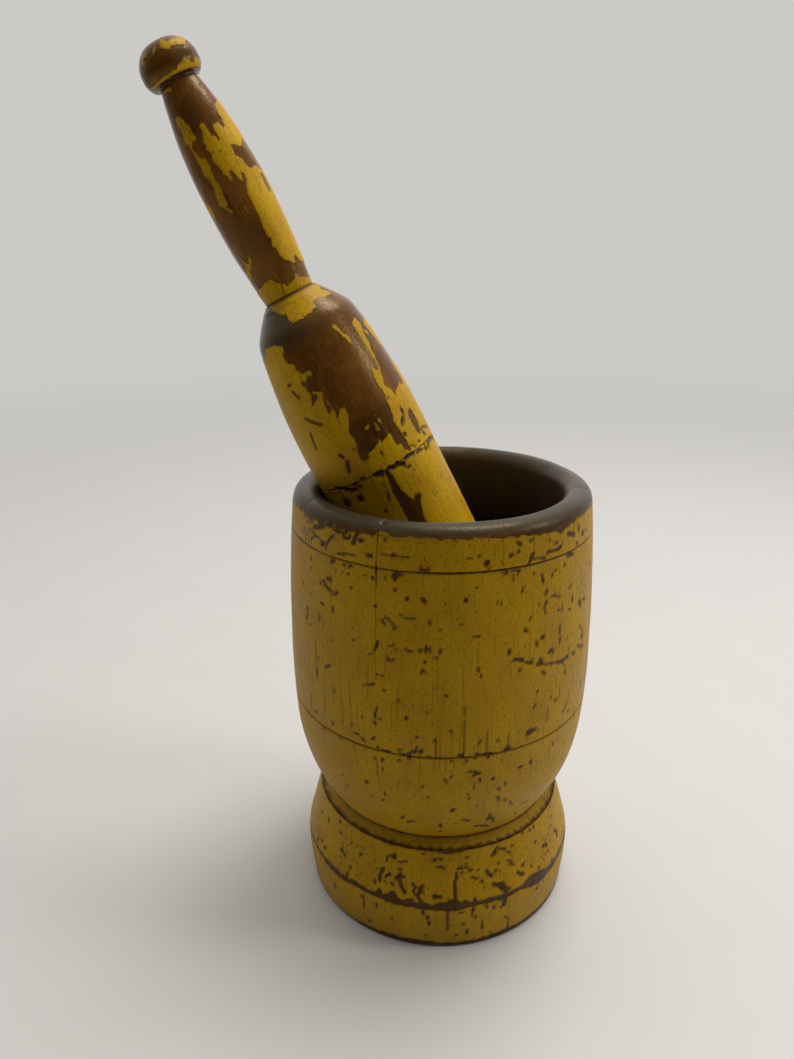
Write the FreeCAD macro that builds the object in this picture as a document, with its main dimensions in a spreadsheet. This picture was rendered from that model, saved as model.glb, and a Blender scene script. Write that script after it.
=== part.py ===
"""Turned wooden mortar and pestle, standing on its foot with the pestle leaning in the bowl.

Row frame: origin at the centre of the foot's underside, +Z up along the mortar's axis.
The pestle leans towards -X in the plane Y = 0. Each turned piece is drawn as half a
section in its own XZ plane and revolved about its own Z axis, as it was on the lathe.
Sizes are in millimetres and live in the spreadsheet "dims".
"""
import FreeCAD, Part
import math
import os

import Sketcher

DIMENSIONS = {
    # mortar: foot
    "foot_edge_round": 1.3,        # rounding of the edge that stands on the table
    "foot_base_radius": 57.9,
    "foot_flat_radius": 56.6,      # the flat underside, inside the rounded edge
    "foot_band_bulge": 160.0,      # curvature of the lower band
    "foot_arris_radius": 59.5,     # the widest line of the foot
    "foot_arris_height": 21.8,
    "foot_top_radius": 53.0,       # crisp edge at the top of the flare
    "foot_top_height": 45.0,
    # mortar: waist and barrel
    "waist_cove_radius": 5.2,
    "neck_radius": 49.2,           # narrowest line, under the barrel
    "neck_height": 48.3,
    "barrel_low_bulge": 77.0,
    "barrel_turn_radius": 61.58,   # where the low arc meets the belly arc
    "barrel_turn_height": 84.0,
    "barrel_mid_bulge": 303.0,
    "belly_radius": 62.7,
    "belly_height": 110.0,
    "barrel_top_bulge": 738.6,
    "rim_outer_radius": 59.6,
    "rim_spring_height": 177.4,    # where the half-round rim starts
    # mortar: rim and hollow
    "rim_round": 5.8,
    "mouth_radius": 48.0,
    "bowl_centre_height": 110.0,
    "bowl_floor_height": 62.0,
    # scribed lines
    "scribe_depth": 0.6,
    "scribe_reach": 1.1,           # half width of the cutting V, as far outside as it is deep
    "mortar_low_scribe_height": 95.0,
    "mortar_high_scribe_height": 167.3,
    "mortar_low_scribe_radius": 62.33,
    "mortar_high_scribe_radius": 60.48,
    # pestle head, measured up from its rounded end
    "head_radius": 24.7,
    "head_side_height": 128.4,     # below this the side is straight
    "head_side_bulge": 262.0,
    "head_corner_radius": 20.1,
    "head_corner_height": 184.6,
    "head_corner_round": 11.85,    # runs smoothly into the side and the shoulder
    "head_shoulder_radius": 18.0,
    "head_shoulder_height": 189.4,
    "head_shoulder_bulge": 82.0,
    "head_land_radius": 10.3,      # the small flat that the handle stands on
    "head_length": 198.4,
    "head_scribe_height": 128.8,
    # pestle handle, measured up from the end of its tenon
    "tenon_radius": 6.0,
    "tenon_length": 28.0,
    "handle_foot_radius": 9.6,
    "handle_low_bulge": 283.0,
    "handle_belly_radius": 12.2,
    "handle_belly_height": 67.0,
    "handle_top_bulge": 147.9,
    "handle_neck_radius": 7.1,
    "handle_neck_height": 105.5,
    "knob_lip_radius": 8.8,
    "knob_lip_height": 105.9,
    "knob_low_bulge": 4.9,
    "knob_radius": 10.7,
    "knob_height": 110.2,
    "knob_side_bulge": 8.6,
    "knob_crown_radius": 6.5,
    "knob_crown_height": 118.1,
    "knob_crown_bulge": 16.9,      # a ball cap: its centre lies on the axis
    "handle_length": 119.4,
    # fits
    "glue_gap": 0.1,               # between the tenon and its socket
    "socket_depth": 29.0,
    "rest_gap": 0.3,               # between the resting pestle and the mortar
    "pestle_lean": 26.14,          # degrees from upright
}


FULL_TURN = 360


def make_sheet(doc):
    """Write every driving dimension to a cell with its own alias."""
    sheet = doc.addObject("Spreadsheet::Sheet", "dims")
    for row, (alias, value) in enumerate(DIMENSIONS.items(), start=1):
        sheet.set(f"A{row}", alias.replace("_", " "))
        sheet.set(f"B{row}", str(value))
        sheet.setAlias(f"B{row}", alias)
    doc.recompute()
    return sheet


def amount(formula):
    """Value of a sum such as "head_length - scribe_depth"."""
    total, sign = 0.0, 1.0
    for word in formula.split():
        if word in "+-":
            sign = 1.0 if word == "+" else -1.0
        else:
            total += sign * DIMENSIONS[word]
    return total


def cell_formula(formula):
    """The same sum written with spreadsheet references."""
    words = [word if word in "+-" else f"dims.{word}" for word in formula.split()]
    return " ".join(words)


def origin_feature(body, role):
    """The body's own origin plane or axis with this role."""
    return next(f for f in body.Origin.OriginFeatures if f.Role == role)


def bind(sketch, constraint, name, formula):
    """Add a named constraint and drive it from the sheet."""
    index = sketch.addConstraint(constraint)
    sketch.renameConstraint(index, name)
    sketch.setExpression(f"Constraints.{name}", cell_formula(formula))


def arc_between(start, end, radius, bulge):
    """Arc from start to end. A bulge has its centre on the left of the path, a hollow on the right."""
    side = 1.0 if bulge else -1.0
    chord = end - start
    left = FreeCAD.Vector(-chord.y, chord.x, 0).normalize()
    centre = (start + end) * 0.5 + left * side * math.sqrt(radius**2 - (chord.Length / 2)**2)
    first, last = (start, end) if bulge else (end, start)
    angle_first = math.atan2(first.y - centre.y, first.x - centre.x)
    angle_last = math.atan2(last.y - centre.y, last.x - centre.x)
    if angle_last < angle_first:
        angle_last += 2 * math.pi
    circle = Part.Circle(centre, FreeCAD.Vector(0, 0, 1), radius)
    return Part.ArcOfCircle(circle, angle_first, angle_last)


def half_section(body, name, path):
    """Closed sketch in the body's XZ plane.

    path is a list of (kind, radius, height, curvature). kind is "start", "line", "bulge" or
    "hollow"; radius and height are sums of aliases, "" meaning on the axis or on the base line.
    """
    sketch = body.newObject("Sketcher::SketchObject", name)
    sketch.AttachmentSupport = (origin_feature(body, "XZ_Plane"), [""])
    sketch.MapMode = "FlatFace"

    points = [FreeCAD.Vector(amount(r) if r else 0, amount(z) if z else 0, 0) for _, r, z, _ in path]
    start_vertex, end_vertex = 1, 2
    tips = []
    for number in range(len(path)):
        here, there = points[number], points[(number + 1) % len(path)]
        kind, _, _, curvature = path[(number + 1) % len(path)]
        if kind in ("bulge", "hollow"):
            edge = sketch.addGeometry(arc_between(here, there, amount(curvature), kind == "bulge"))
            ends = (start_vertex, end_vertex) if kind == "bulge" else (end_vertex, start_vertex)
        else:
            edge = sketch.addGeometry(Part.LineSegment(here, there))
            ends = (start_vertex, end_vertex)
        tips.append((edge, ends[0], ends[1]))

    x_axis, z_axis = -1, -2
    for number, (_, radius, height, _) in enumerate(path):
        edge, first, _ = tips[number]
        previous, _, last = tips[number - 1]
        sketch.addConstraint(Sketcher.Constraint("Coincident", previous, last, edge, first))
        if radius:
            bind(sketch, Sketcher.Constraint("DistanceX", x_axis, 1, edge, first, amount(radius)),
                 f"r{number}", radius)
        else:
            sketch.addConstraint(Sketcher.Constraint("PointOnObject", edge, first, z_axis))
        if height:
            bind(sketch, Sketcher.Constraint("DistanceY", x_axis, 1, edge, first, amount(height)),
                 f"z{number}", height)
        else:
            sketch.addConstraint(Sketcher.Constraint("PointOnObject", edge, first, x_axis))
    for number, (kind, _, _, curvature) in enumerate(path):
        if kind in ("bulge", "hollow"):
            edge = tips[number - 1][0]
            bind(sketch, Sketcher.Constraint("Radius", edge, amount(curvature)),
                 f"curve{number}", curvature)
    return sketch


def turn(body, name, path):
    """Revolve a half section into solid wood."""
    sketch = half_section(body, name + "_section", path)
    feature = body.newObject("PartDesign::Revolution", name)
    feature.Profile = sketch
    feature.ReferenceAxis = (sketch, ["V_Axis"])
    feature.Angle = FULL_TURN
    body.Tip = feature
    body.Document.recompute()
    return feature


def cut_round(body, name, path):
    """Cut a revolved half section away and check that wood was removed."""
    before = body.Shape.Volume
    sketch = half_section(body, name + "_section", path)
    feature = body.newObject("PartDesign::Groove", name)
    feature.Profile = sketch
    feature.ReferenceAxis = (sketch, ["V_Axis"])
    feature.Angle = FULL_TURN
    body.Tip = feature
    body.Document.recompute()
    if not body.Shape.Volume < before:
        raise RuntimeError(f"{name} removed nothing")
    return feature


def scribe(body, name, radius, height):
    """A fine V line cut round the piece with the point of a skew chisel."""
    cut_round(body, name, [
        ("start", radius + " - scribe_depth", height, ""),
        ("line", radius + " + scribe_depth", height + " - scribe_reach", ""),
        ("line", radius + " + scribe_depth", height + " + scribe_reach", ""),
    ])


def new_body(doc, label):
    body = doc.addObject("PartDesign::Body", label)
    body.Label = label
    return body


def make_mortar(doc):
    """One block: foot, waist, barrel and half-round rim outside, straight wall and bowl inside."""
    body = new_body(doc, "mortar")
    turn(body, "turned_block", [
        ("start", "", "", ""),
        ("line", "foot_flat_radius", "", ""),
        ("bulge", "foot_base_radius", "foot_edge_round", "foot_edge_round"),
        ("bulge", "foot_arris_radius", "foot_arris_height", "foot_band_bulge"),
        ("line", "foot_top_radius", "foot_top_height", ""),
        ("hollow", "neck_radius", "neck_height", "waist_cove_radius"),
        ("bulge", "barrel_turn_radius", "barrel_turn_height", "barrel_low_bulge"),
        ("bulge", "belly_radius", "belly_height", "barrel_mid_bulge"),
        ("bulge", "rim_outer_radius", "rim_spring_height", "barrel_top_bulge"),
        ("bulge", "mouth_radius + rim_round", "rim_spring_height + rim_round", "rim_round"),
        ("bulge", "mouth_radius", "rim_spring_height", "rim_round"),
        ("line", "mouth_radius", "bowl_centre_height", ""),
        ("hollow", "", "bowl_floor_height", "mouth_radius"),
    ])
    scribe(body, "low_scribe", "mortar_low_scribe_radius", "mortar_low_scribe_height")
    scribe(body, "high_scribe", "mortar_high_scribe_radius", "mortar_high_scribe_height")
    return body


def make_pestle_head(doc):
    """Pounding head: ball end, long straight side, rounded shoulder and a bored socket."""
    body = new_body(doc, "pestle_head")
    turn(body, "turned_head", [
        ("start", "", "", ""),
        ("bulge", "head_radius", "head_radius", "head_radius"),
        ("line", "head_radius", "head_side_height", ""),
        ("bulge", "head_corner_radius", "head_corner_height", "head_side_bulge"),
        ("bulge", "head_shoulder_radius", "head_shoulder_height", "head_corner_round"),
        ("bulge", "head_land_radius", "head_length", "head_shoulder_bulge"),
        ("line", "", "head_length", ""),
    ])
    cut_round(body, "socket", [
        ("start", "", "head_length - socket_depth", ""),
        ("line", "tenon_radius + glue_gap", "head_length - socket_depth", ""),
        ("line", "tenon_radius + glue_gap", "head_length", ""),
        ("line", "", "head_length", ""),
    ])
    scribe(body, "head_scribe", "head_radius", "head_scribe_height")
    return body


def make_pestle_handle(doc):
    """Handle: round tenon below, swelling grip and a bun knob on top."""
    body = new_body(doc, "pestle_handle")
    turn(body, "turned_handle", [
        ("start", "", "", ""),
        ("line", "tenon_radius", "", ""),
        ("line", "tenon_radius", "tenon_length", ""),
        ("line", "handle_foot_radius", "tenon_length", ""),
        ("bulge", "handle_belly_radius", "handle_belly_height", "handle_low_bulge"),
        ("bulge", "handle_neck_radius", "handle_neck_height", "handle_top_bulge"),
        ("line", "knob_lip_radius", "knob_lip_height", ""),
        ("bulge", "knob_radius", "knob_height", "knob_low_bulge"),
        ("bulge", "knob_crown_radius", "knob_crown_height", "knob_side_bulge"),
        ("bulge", "", "handle_length", "knob_crown_bulge"),
    ])
    return body


def pestle_rest():
    """Placement of the pestle's end and axis when it leans on the lip and in the bowl.

    Seen along Y the straight side is a line that clears the lip's circle by rest_gap, and the
    ball end is a circle that clears the bowl's circle by rest_gap.
    """
    lean = math.radians(DIMENSIONS["pestle_lean"])
    up = FreeCAD.Vector(-math.sin(lean), 0, math.cos(lean))
    down_left = FreeCAD.Vector(-math.cos(lean), 0, -math.sin(lean))
    lip = FreeCAD.Vector(-amount("mouth_radius + rim_round"), 0, amount("rim_spring_height"))
    bowl = FreeCAD.Vector(0, 0, amount("bowl_centre_height"))

    across = lip.dot(down_left) - amount("rim_round + rest_gap + head_radius")
    reach = amount("mouth_radius - head_radius - rest_gap")
    offset = across - bowl.dot(down_left)
    along = bowl.dot(up) - math.sqrt(reach**2 - offset**2)
    ball = down_left * across + up * along
    return ball - up * amount("head_radius"), up


def place_pestle(head, handle):
    """Stand both pestle pieces on the leaning axis, the handle's tenon in the head's socket."""
    end, up = pestle_rest()
    lean_axis = FreeCAD.Vector(0, -1, 0)
    for body, step in ((head, 0.0), (handle, amount("head_length - tenon_length"))):
        rotation = FreeCAD.Rotation(lean_axis, DIMENSIONS["pestle_lean"])
        body.Placement = FreeCAD.Placement(end + up * step, rotation)
        body.setExpression("Placement.Rotation.Angle", "dims.pestle_lean * 1 deg")


def check_document(doc):
    for item in doc.Objects:
        bad = [state for state in item.State if state in ("Invalid", "Error")]
        if bad:
            raise RuntimeError(f"{item.Name} is {bad}")


def write_pieces(bodies):
    os.makedirs("parts", exist_ok=True)
    for body in bodies:
        shape = body.Shape
        if shape.isNull() or not shape.isValid():
            raise RuntimeError(f"{body.Label} has no valid shape")
        box = shape.BoundBox
        print(f"{body.Label}: {len(shape.Solids)} solid, {shape.Volume / 1000:.1f} cm3, "
              f"x {box.XMin:.1f}..{box.XMax:.1f}, z {box.ZMin:.1f}..{box.ZMax:.1f}")
        shape.exportStep(f"parts/{body.Label}.step")


def main():
    doc = FreeCAD.newDocument("mortar_and_pestle")
    make_sheet(doc)
    mortar = make_mortar(doc)
    head = make_pestle_head(doc)
    handle = make_pestle_handle(doc)
    place_pestle(head, handle)
    doc.recompute()
    check_document(doc)
    write_pieces([mortar, head, handle])


main()
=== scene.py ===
"""Looks of the turned wooden mortar and pestle: worn mustard paint over dark old wood.

Each CAD node is replaced by a mesh spun from the node's own half section, with finer rows and
columns, so that scribed lines, worn arrises, chips and the drying check are real shape. Shapes of
wear are placed by angle and height on the turned surface: angle in degrees, 0 facing -Y and positive
towards +X, height in mm along the turning axis. Every vertex carries three attributes for the shader:

  turned  the point in the piece's own frame, in mm, Z along the turning axis
  wear    mm inside the paint's edge (negative on bare wood), dirt and painted shade 0..1, density of small flecks 0..1
  lines   signed mm from the nearest hairline crack, half its width in mm, greyness of the wood 0..1, its own aged tone and painted sheen
"""

import math

import bpy
import numpy as np
from mathutils import Matrix, Vector


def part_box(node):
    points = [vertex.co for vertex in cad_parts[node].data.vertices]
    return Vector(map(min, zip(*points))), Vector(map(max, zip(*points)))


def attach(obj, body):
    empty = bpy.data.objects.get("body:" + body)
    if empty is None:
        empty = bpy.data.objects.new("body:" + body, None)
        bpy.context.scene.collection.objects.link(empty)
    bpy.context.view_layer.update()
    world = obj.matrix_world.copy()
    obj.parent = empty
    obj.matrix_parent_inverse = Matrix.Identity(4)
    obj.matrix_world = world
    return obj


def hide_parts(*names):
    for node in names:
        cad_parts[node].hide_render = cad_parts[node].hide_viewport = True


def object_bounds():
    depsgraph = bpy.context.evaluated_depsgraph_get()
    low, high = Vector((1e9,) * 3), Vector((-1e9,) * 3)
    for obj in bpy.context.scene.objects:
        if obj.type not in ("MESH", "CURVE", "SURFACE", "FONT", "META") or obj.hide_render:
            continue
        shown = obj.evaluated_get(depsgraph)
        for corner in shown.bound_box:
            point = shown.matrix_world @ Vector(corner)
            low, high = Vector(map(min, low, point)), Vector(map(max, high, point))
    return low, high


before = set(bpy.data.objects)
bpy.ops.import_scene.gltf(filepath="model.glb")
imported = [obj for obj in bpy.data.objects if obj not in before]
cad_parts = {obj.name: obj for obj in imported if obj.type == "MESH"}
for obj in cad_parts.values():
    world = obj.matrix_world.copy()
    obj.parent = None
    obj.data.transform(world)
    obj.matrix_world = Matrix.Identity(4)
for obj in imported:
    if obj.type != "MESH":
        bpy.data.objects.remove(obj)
CAD_LOW, CAD_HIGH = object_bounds()

MM = 0.001
PESTLE_LEAN = math.radians(26.14)   # from upright, towards -X
BALL_RADIUS = 24.7                  # mm, the pestle's lower end
MORTAR_HOLLOW = (53.8, 60.0)        # mm: the hollow lies inside this radius and above this height
SOCKET_HOLLOW = (6.2, 169.0)

FAR = 3.0                           # mm, as far from an edge of paint as matters
PAINT_THICKNESS = 0.13              # mm, several coats
BARE_EDGE = 0.3                     # mm: with less paint around it than this, a point counts as bare
SAME_POINT = 0.03                   # mm: nearer points of a section are one point


# ---------------------------------------------------------------- sections read from the frame

def mortar_frame():
    """Matrix from the mortar's own millimetres to the row frame in metres."""
    return Matrix.Scale(MM, 4)


def pestle_frame():
    """The same for the pestle: origin at the tip of its ball end, Z up its leaning axis."""
    low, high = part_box("pestle_head")
    ball = Vector((high.x - BALL_RADIUS * MM, 0.0, low.z + BALL_RADIUS * MM))
    lean = Matrix.Rotation(-PESTLE_LEAN, 4, "Y")
    to_tip = lean @ Vector((0.0, 0.0, -BALL_RADIUS * MM))
    return Matrix.Translation(ball + to_tip) @ lean @ Matrix.Scale(MM, 4)


def half_section(node, own_frame, hollow=None):
    """(radius, height) points in mm: up the node's outside, then down its hollow if it has one.

    The solid was revolved from its own +X side, so the vertices there lie exactly on its section.
    """
    seam_width = 0.003
    to_own = own_frame.inverted()
    points = np.array([to_own @ vertex.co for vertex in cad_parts[node].data.vertices])
    on_seam = (np.abs(points[:, 1]) < seam_width) & (points[:, 0] > -seam_width)
    radius, height = np.maximum(points[on_seam, 0], 0.0), points[on_seam, 2]
    level = np.round(height, 1)
    inside = np.zeros(len(radius), bool)
    if hollow:
        inside = (radius < hollow[0] - 0.01) & (height > hollow[1])
    climb = [i for i in np.lexsort((radius, height, level)) if not inside[i]]
    descent = [i for i in np.lexsort((-radius, -height, -level)) if inside[i]]
    line = [(0.0, height[climb[0]])]
    for i in climb + descent:
        if math.hypot(radius[i] - line[-1][0], height[i] - line[-1][1]) > SAME_POINT:
            line.append((radius[i], height[i]))
    if line[-1][0] > SAME_POINT:
        line.append((0.0, line[-1][1]))
    return np.array(line)


def section_tangents(line):
    """Unit directions into and out of each point. A turn of more than 14 degrees is a corner."""
    corner_cosine = math.cos(math.radians(14))
    steps = np.diff(line, axis=0)
    lengths = np.hypot(steps[:, 0], steps[:, 1])
    ways = steps / lengths[:, None]
    arriving, leaving = np.empty_like(line), np.empty_like(line)
    arriving[0] = leaving[0] = (1.0, 0.0)
    arriving[-1] = leaving[-1] = (-1.0, 0.0)
    for i in range(1, len(line) - 1):
        before, after = lengths[i - 1], lengths[i]
        if ways[i - 1] @ ways[i] < corner_cosine:
            arriving[i], leaving[i] = ways[i - 1], ways[i]
            continue
        if max(before, after) > 3 * min(before, after):
            way = ways[i - 1] if before > after else ways[i]
        else:
            way = ways[i - 1] * after + ways[i] * before
        arriving[i] = leaving[i] = way / np.hypot(*way)
    return arriving, leaving, lengths


def fine_rows(line, spacing):
    """Rows on a smooth curve through the section's points: (radius, height, outward r, outward z).

    spacing(radius, height) is the row pitch in mm. Corners get a close row on either side.
    """
    arriving, leaving, lengths = section_tangents(line)
    support = 0.2
    rows = []
    for i, length in enumerate(lengths):
        start, end = line[i], line[i + 1]
        pitch = spacing(*((start + end) / 2))
        count = max(1, math.ceil(length / pitch))
        shares = list(np.arange(count) / count)
        corner_here = not np.allclose(arriving[i], leaving[i])
        corner_there = not np.allclose(arriving[i + 1], leaving[i + 1])
        if corner_here and length / count > 2 * support:
            shares.append(support / length)
        if corner_there and length / count > 2 * support:
            shares.append(1 - support / length)
        for share in sorted(shares):
            s, s2, s3 = share, share**2, share**3
            point = ((2 * s3 - 3 * s2 + 1) * start + (s3 - 2 * s2 + s) * length * leaving[i]
                     + (3 * s2 - 2 * s3) * end + (s3 - s2) * length * arriving[i + 1])
            way = ((6 * s2 - 6 * s) * start + (3 * s2 - 4 * s + 1) * length * leaving[i]
                   + (6 * s - 6 * s2) * end + (3 * s2 - 2 * s) * length * arriving[i + 1])
            if share == 0:
                way = arriving[i] + leaving[i]
            way = way / np.hypot(*way)
            rows.append((point[0], point[1], way[1], -way[0]))
    rows.append((line[-1][0], line[-1][1], 0.0, 1.0))
    return np.array(rows)


def columns(front, front_pitch, back_pitch, extra=()):
    """Angles of the mesh's columns: close together within front degrees of the -Y side."""
    forward = np.arange(-front, front, front_pitch)
    behind = np.arange(front, 360 - front, back_pitch)
    behind = np.where(behind > 180, behind - 360, behind)
    return np.unique(np.round(np.concatenate([forward, behind, extra]), 3))


def ripple(angle, height, seed, around, along, count=14):
    """Smooth random relief of about unit size, seamless round the axis.

    around is the typical number of waves round the piece, along the wavelength in mm.
    """
    draw = np.random.default_rng(seed)
    total = 0.0
    for _ in range(count):
        waves = round(around * draw.uniform(0.3, 1.6))
        pitch = draw.normal(0.0, 1.0) * 2 * math.pi / along
        total = total + np.sin(np.radians(angle) * waves + height * pitch + draw.uniform(0, 2 * math.pi))
    return total * math.sqrt(2 / count)


# ---------------------------------------------------------------- worn turned surfaces

class Skin:
    """Rows and columns of points on a turned piece, with what has happened to its paint and wood, and the
    shade and sheen painted into its colour.
    """

    def __init__(self, rows, angles):
        self.radius, self.height = rows[:, 0:1], rows[:, 1:2]
        self.out_radial, self.out_axial = rows[:, 2:3], rows[:, 3:4]
        self.angle = angles[None, :]
        top = int(np.argmax(rows[:, 1]))
        first_up = int(np.argmax(rows[:, 1] > rows[0, 1] + 0.02))
        number = np.arange(len(rows))[:, None]
        self.outside = (number <= top) & (number >= first_up)
        shape = (len(rows), len(angles))
        self.paint = np.full(shape, FAR)
        self.dirt_and_shade = np.zeros(shape)
        self.flecks = np.zeros(shape)
        self.sunk = np.zeros(shape)
        self.crack = np.full(shape, FAR)
        self.crack_width = np.zeros(shape)
        self.grey_and_sheen = np.zeros(shape)

    def around(self, angle):
        """Mm round the surface from an angle, the shorter way."""
        return np.radians((self.angle - angle + 180) % 360 - 180) * self.radius

    def strip(self, edges):
        """Wood shows where edges (mm, positive under paint) is negative, on the outside."""
        self.paint = np.where(self.outside, np.minimum(self.paint, edges), self.paint)

    def cover(self, edges):
        """Paint remains where edges is positive, on the outside."""
        self.paint = np.where(self.outside, np.maximum(self.paint, edges), self.paint)

    def oval(self, angle, height, width, tall, tilt=0.0):
        """Mm outside an oval whose width and height are in mm, tilted anticlockwise."""
        turn = math.radians(tilt)
        across, up = self.around(angle), self.height - height
        along = across * math.cos(turn) + up * math.sin(turn)
        aside = up * math.cos(turn) - across * math.sin(turn)
        reach = np.hypot(along / (width / 2), aside / (tall / 2))
        return (reach - 1) * min(width, tall) / 2

    def line(self, points):
        """Mm from an open line through (angle, height) points."""
        nearest = np.full(self.paint.shape, np.inf)
        for (angle_a, height_a), (angle_b, height_b) in zip(points[:-1], points[1:]):
            across, up = self.around(angle_a), self.height - height_a
            run = np.radians(angle_b - angle_a) * self.radius
            rise = height_b - height_a
            share = np.clip((across * run + up * rise) / np.maximum(run**2 + rise**2, 1e-9), 0, 1)
            nearest = np.minimum(nearest, np.hypot(across - share * run, up - share * rise))
        return nearest

    def area(self, points):
        """Signed mm from a closed outline through (angle, height) points, positive inside."""
        inside = np.zeros(self.paint.shape, bool)
        closed = list(points) + [points[0]]
        for (angle_a, height_a), (angle_b, height_b) in zip(closed[:-1], closed[1:]):
            if height_a == height_b:
                continue
            spans = (self.height < height_a) != (self.height < height_b)
            crossing = angle_a + (self.height - height_a) * (angle_b - angle_a) / (height_b - height_a)
            inside ^= spans & (self.angle < crossing)
        edge = self.line(closed)
        return np.where(inside, edge, -edge)

    def chips(self, ovals, depth=0.0):
        """Bare ovals, each (angle, height, width, height in mm, tilt if any), dented by depth mm."""
        for oval in ovals:
            gap = self.oval(*oval)
            self.strip(gap)
            self.dent(gap, depth)

    def scratches(self, strokes, depth=0.0):
        """Bare lines, each (width in mm, (angle, height), (angle, height), ...)."""
        for width, *points in strokes:
            gap = self.line(points) - width / 2
            self.strip(gap)
            self.dent(gap, depth)

    def dent(self, gap, depth):
        """Sink the surface by depth mm inside a shape, with a soft edge half a mm wide."""
        inside = np.clip(0.5 - gap / 0.5, 0, 1)
        self.sunk = np.maximum(self.sunk, np.where(self.outside, inside * depth, 0))

    def stain_and_shade(self, amount, where=True):
        """Dirt and painted shade of 0..1 where it applies, never less than was there."""
        self.dirt_and_shade = np.clip(np.maximum(self.dirt_and_shade, np.where(where, amount, 0)), 0, 1)

    def sink(self, depth, where=True):
        """Lower the surface by depth mm more where it applies."""
        self.sunk = self.sunk + np.where(where, depth, 0)

    def hairlines(self, lines):
        """Cracks along the grain, each (angle, lowest, highest, half width in mm).

        The distance changes sign at every line and never jumps, so it stays exact between columns.
        An even number of lines closes the ring.
        """
        angles = sorted(line[0] for line in lines)
        sign = np.ones(self.paint.shape)
        for angle in angles:
            sign = np.where(self.angle > angle, -sign, sign)
        nearest = np.full(self.paint.shape, np.inf)
        for angle, low, high, half_width in lines:
            gap = np.abs(self.around(angle))
            beyond = np.maximum(low - self.height, self.height - high)
            width = half_width * np.clip(-beyond / 4, 0, 1)
            closer = gap < nearest
            nearest = np.where(closer, gap, nearest)
            self.crack_width = np.where(closer, width, self.crack_width)
        self.crack = sign * np.minimum(nearest, FAR)

    def finish_relief(self):
        """Bare wood lies lower than paint by the paint's thickness."""
        self.sink(np.clip(0.5 - self.paint / 0.4, 0, 1) * PAINT_THICKNESS)


def near(value, middle, reach):
    """1 at middle, fading to 0 like a bell curve."""
    return np.exp(-((value - middle) / reach) ** 2)


def spin(name, skin, own_frame):
    """Mesh object from a skin: a pole, rings of quads, a pole."""
    sine, cosine = np.sin(np.radians(skin.angle)), np.cos(np.radians(skin.angle))
    sunk = skin.sunk[1:-1]
    ring_radius = skin.radius[1:-1] - sunk * skin.out_radial[1:-1]
    ring_height = skin.height[1:-1] - sunk * skin.out_axial[1:-1]
    rings = np.stack([ring_radius * sine, -ring_radius * cosine, ring_height + 0 * sine], -1)
    poles = [np.array([[0.0, 0.0, skin.height[end, 0]]]) for end in (0, -1)]
    points = np.concatenate([poles[0], rings.reshape(-1, 3), poles[1]])

    ring_count, column_count = rings.shape[:2]
    here = np.arange(column_count)
    there = (here + 1) % column_count
    starts = 1 + np.arange(ring_count - 1)[:, None] * column_count
    quads = np.stack([starts + here, starts + there, starts + column_count + there,
                      starts + column_count + here], -1).reshape(-1, 4)
    last_ring = 1 + (ring_count - 1) * column_count
    end_pole = len(points) - 1
    fans = [(0, 1 + b, 1 + a) for a, b in zip(here, there)]
    fans += [(last_ring + a, last_ring + b, end_pole) for a, b in zip(here, there)]

    mesh = bpy.data.meshes.new(name)
    matrix = np.array(own_frame)
    placed = points @ matrix[:3, :3].T + matrix[:3, 3]
    mesh.from_pydata(placed.tolist(), [], quads.tolist() + [tuple(map(int, fan)) for fan in fans])
    mesh.polygons.foreach_set("use_smooth", np.ones(len(mesh.polygons), bool))

    def per_vertex(values):
        return np.concatenate([[values[1].mean()], values[1:-1].ravel(), [values[-2].mean()]])

    layers = {
        "turned": points,
        "wear": np.stack([per_vertex(np.clip(skin.paint, -FAR, FAR)), per_vertex(skin.dirt_and_shade),
                          per_vertex(skin.flecks)], -1),
        "lines": np.stack([per_vertex(skin.crack), per_vertex(skin.crack_width),
                           per_vertex(skin.grey_and_sheen)], -1),
    }
    for layer, values in layers.items():
        attribute = mesh.attributes.new(layer, "FLOAT_VECTOR", "POINT")
        attribute.data.foreach_set("vector", values.astype(np.float32).ravel())
    mesh.update()
    piece = bpy.data.objects.new(name, mesh)
    bpy.context.scene.collection.objects.link(piece)
    return piece


# ---------------------------------------------------------------- mortar

FOOT_ARRIS = 21.8                   # mm above the table
FLARE_TOP = 45.0
NECK = 48.3
LOW_SCRIBE = 95.0
HIGH_SCRIBE = 167.3
RIM_SPRING = 177.4
UNDER_NECK = 46.6                   # middle of the shade in the waist
# The rim's wood is greyed from here up: partly the old wood's own tone, partly painted sheen.
RIM_GREY_AND_SHEEN_FROM = 179.2               # the rim's wood is grey from here up
CHECK_ANGLE = -24.5                 # the drying check that runs down from the rim

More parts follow.
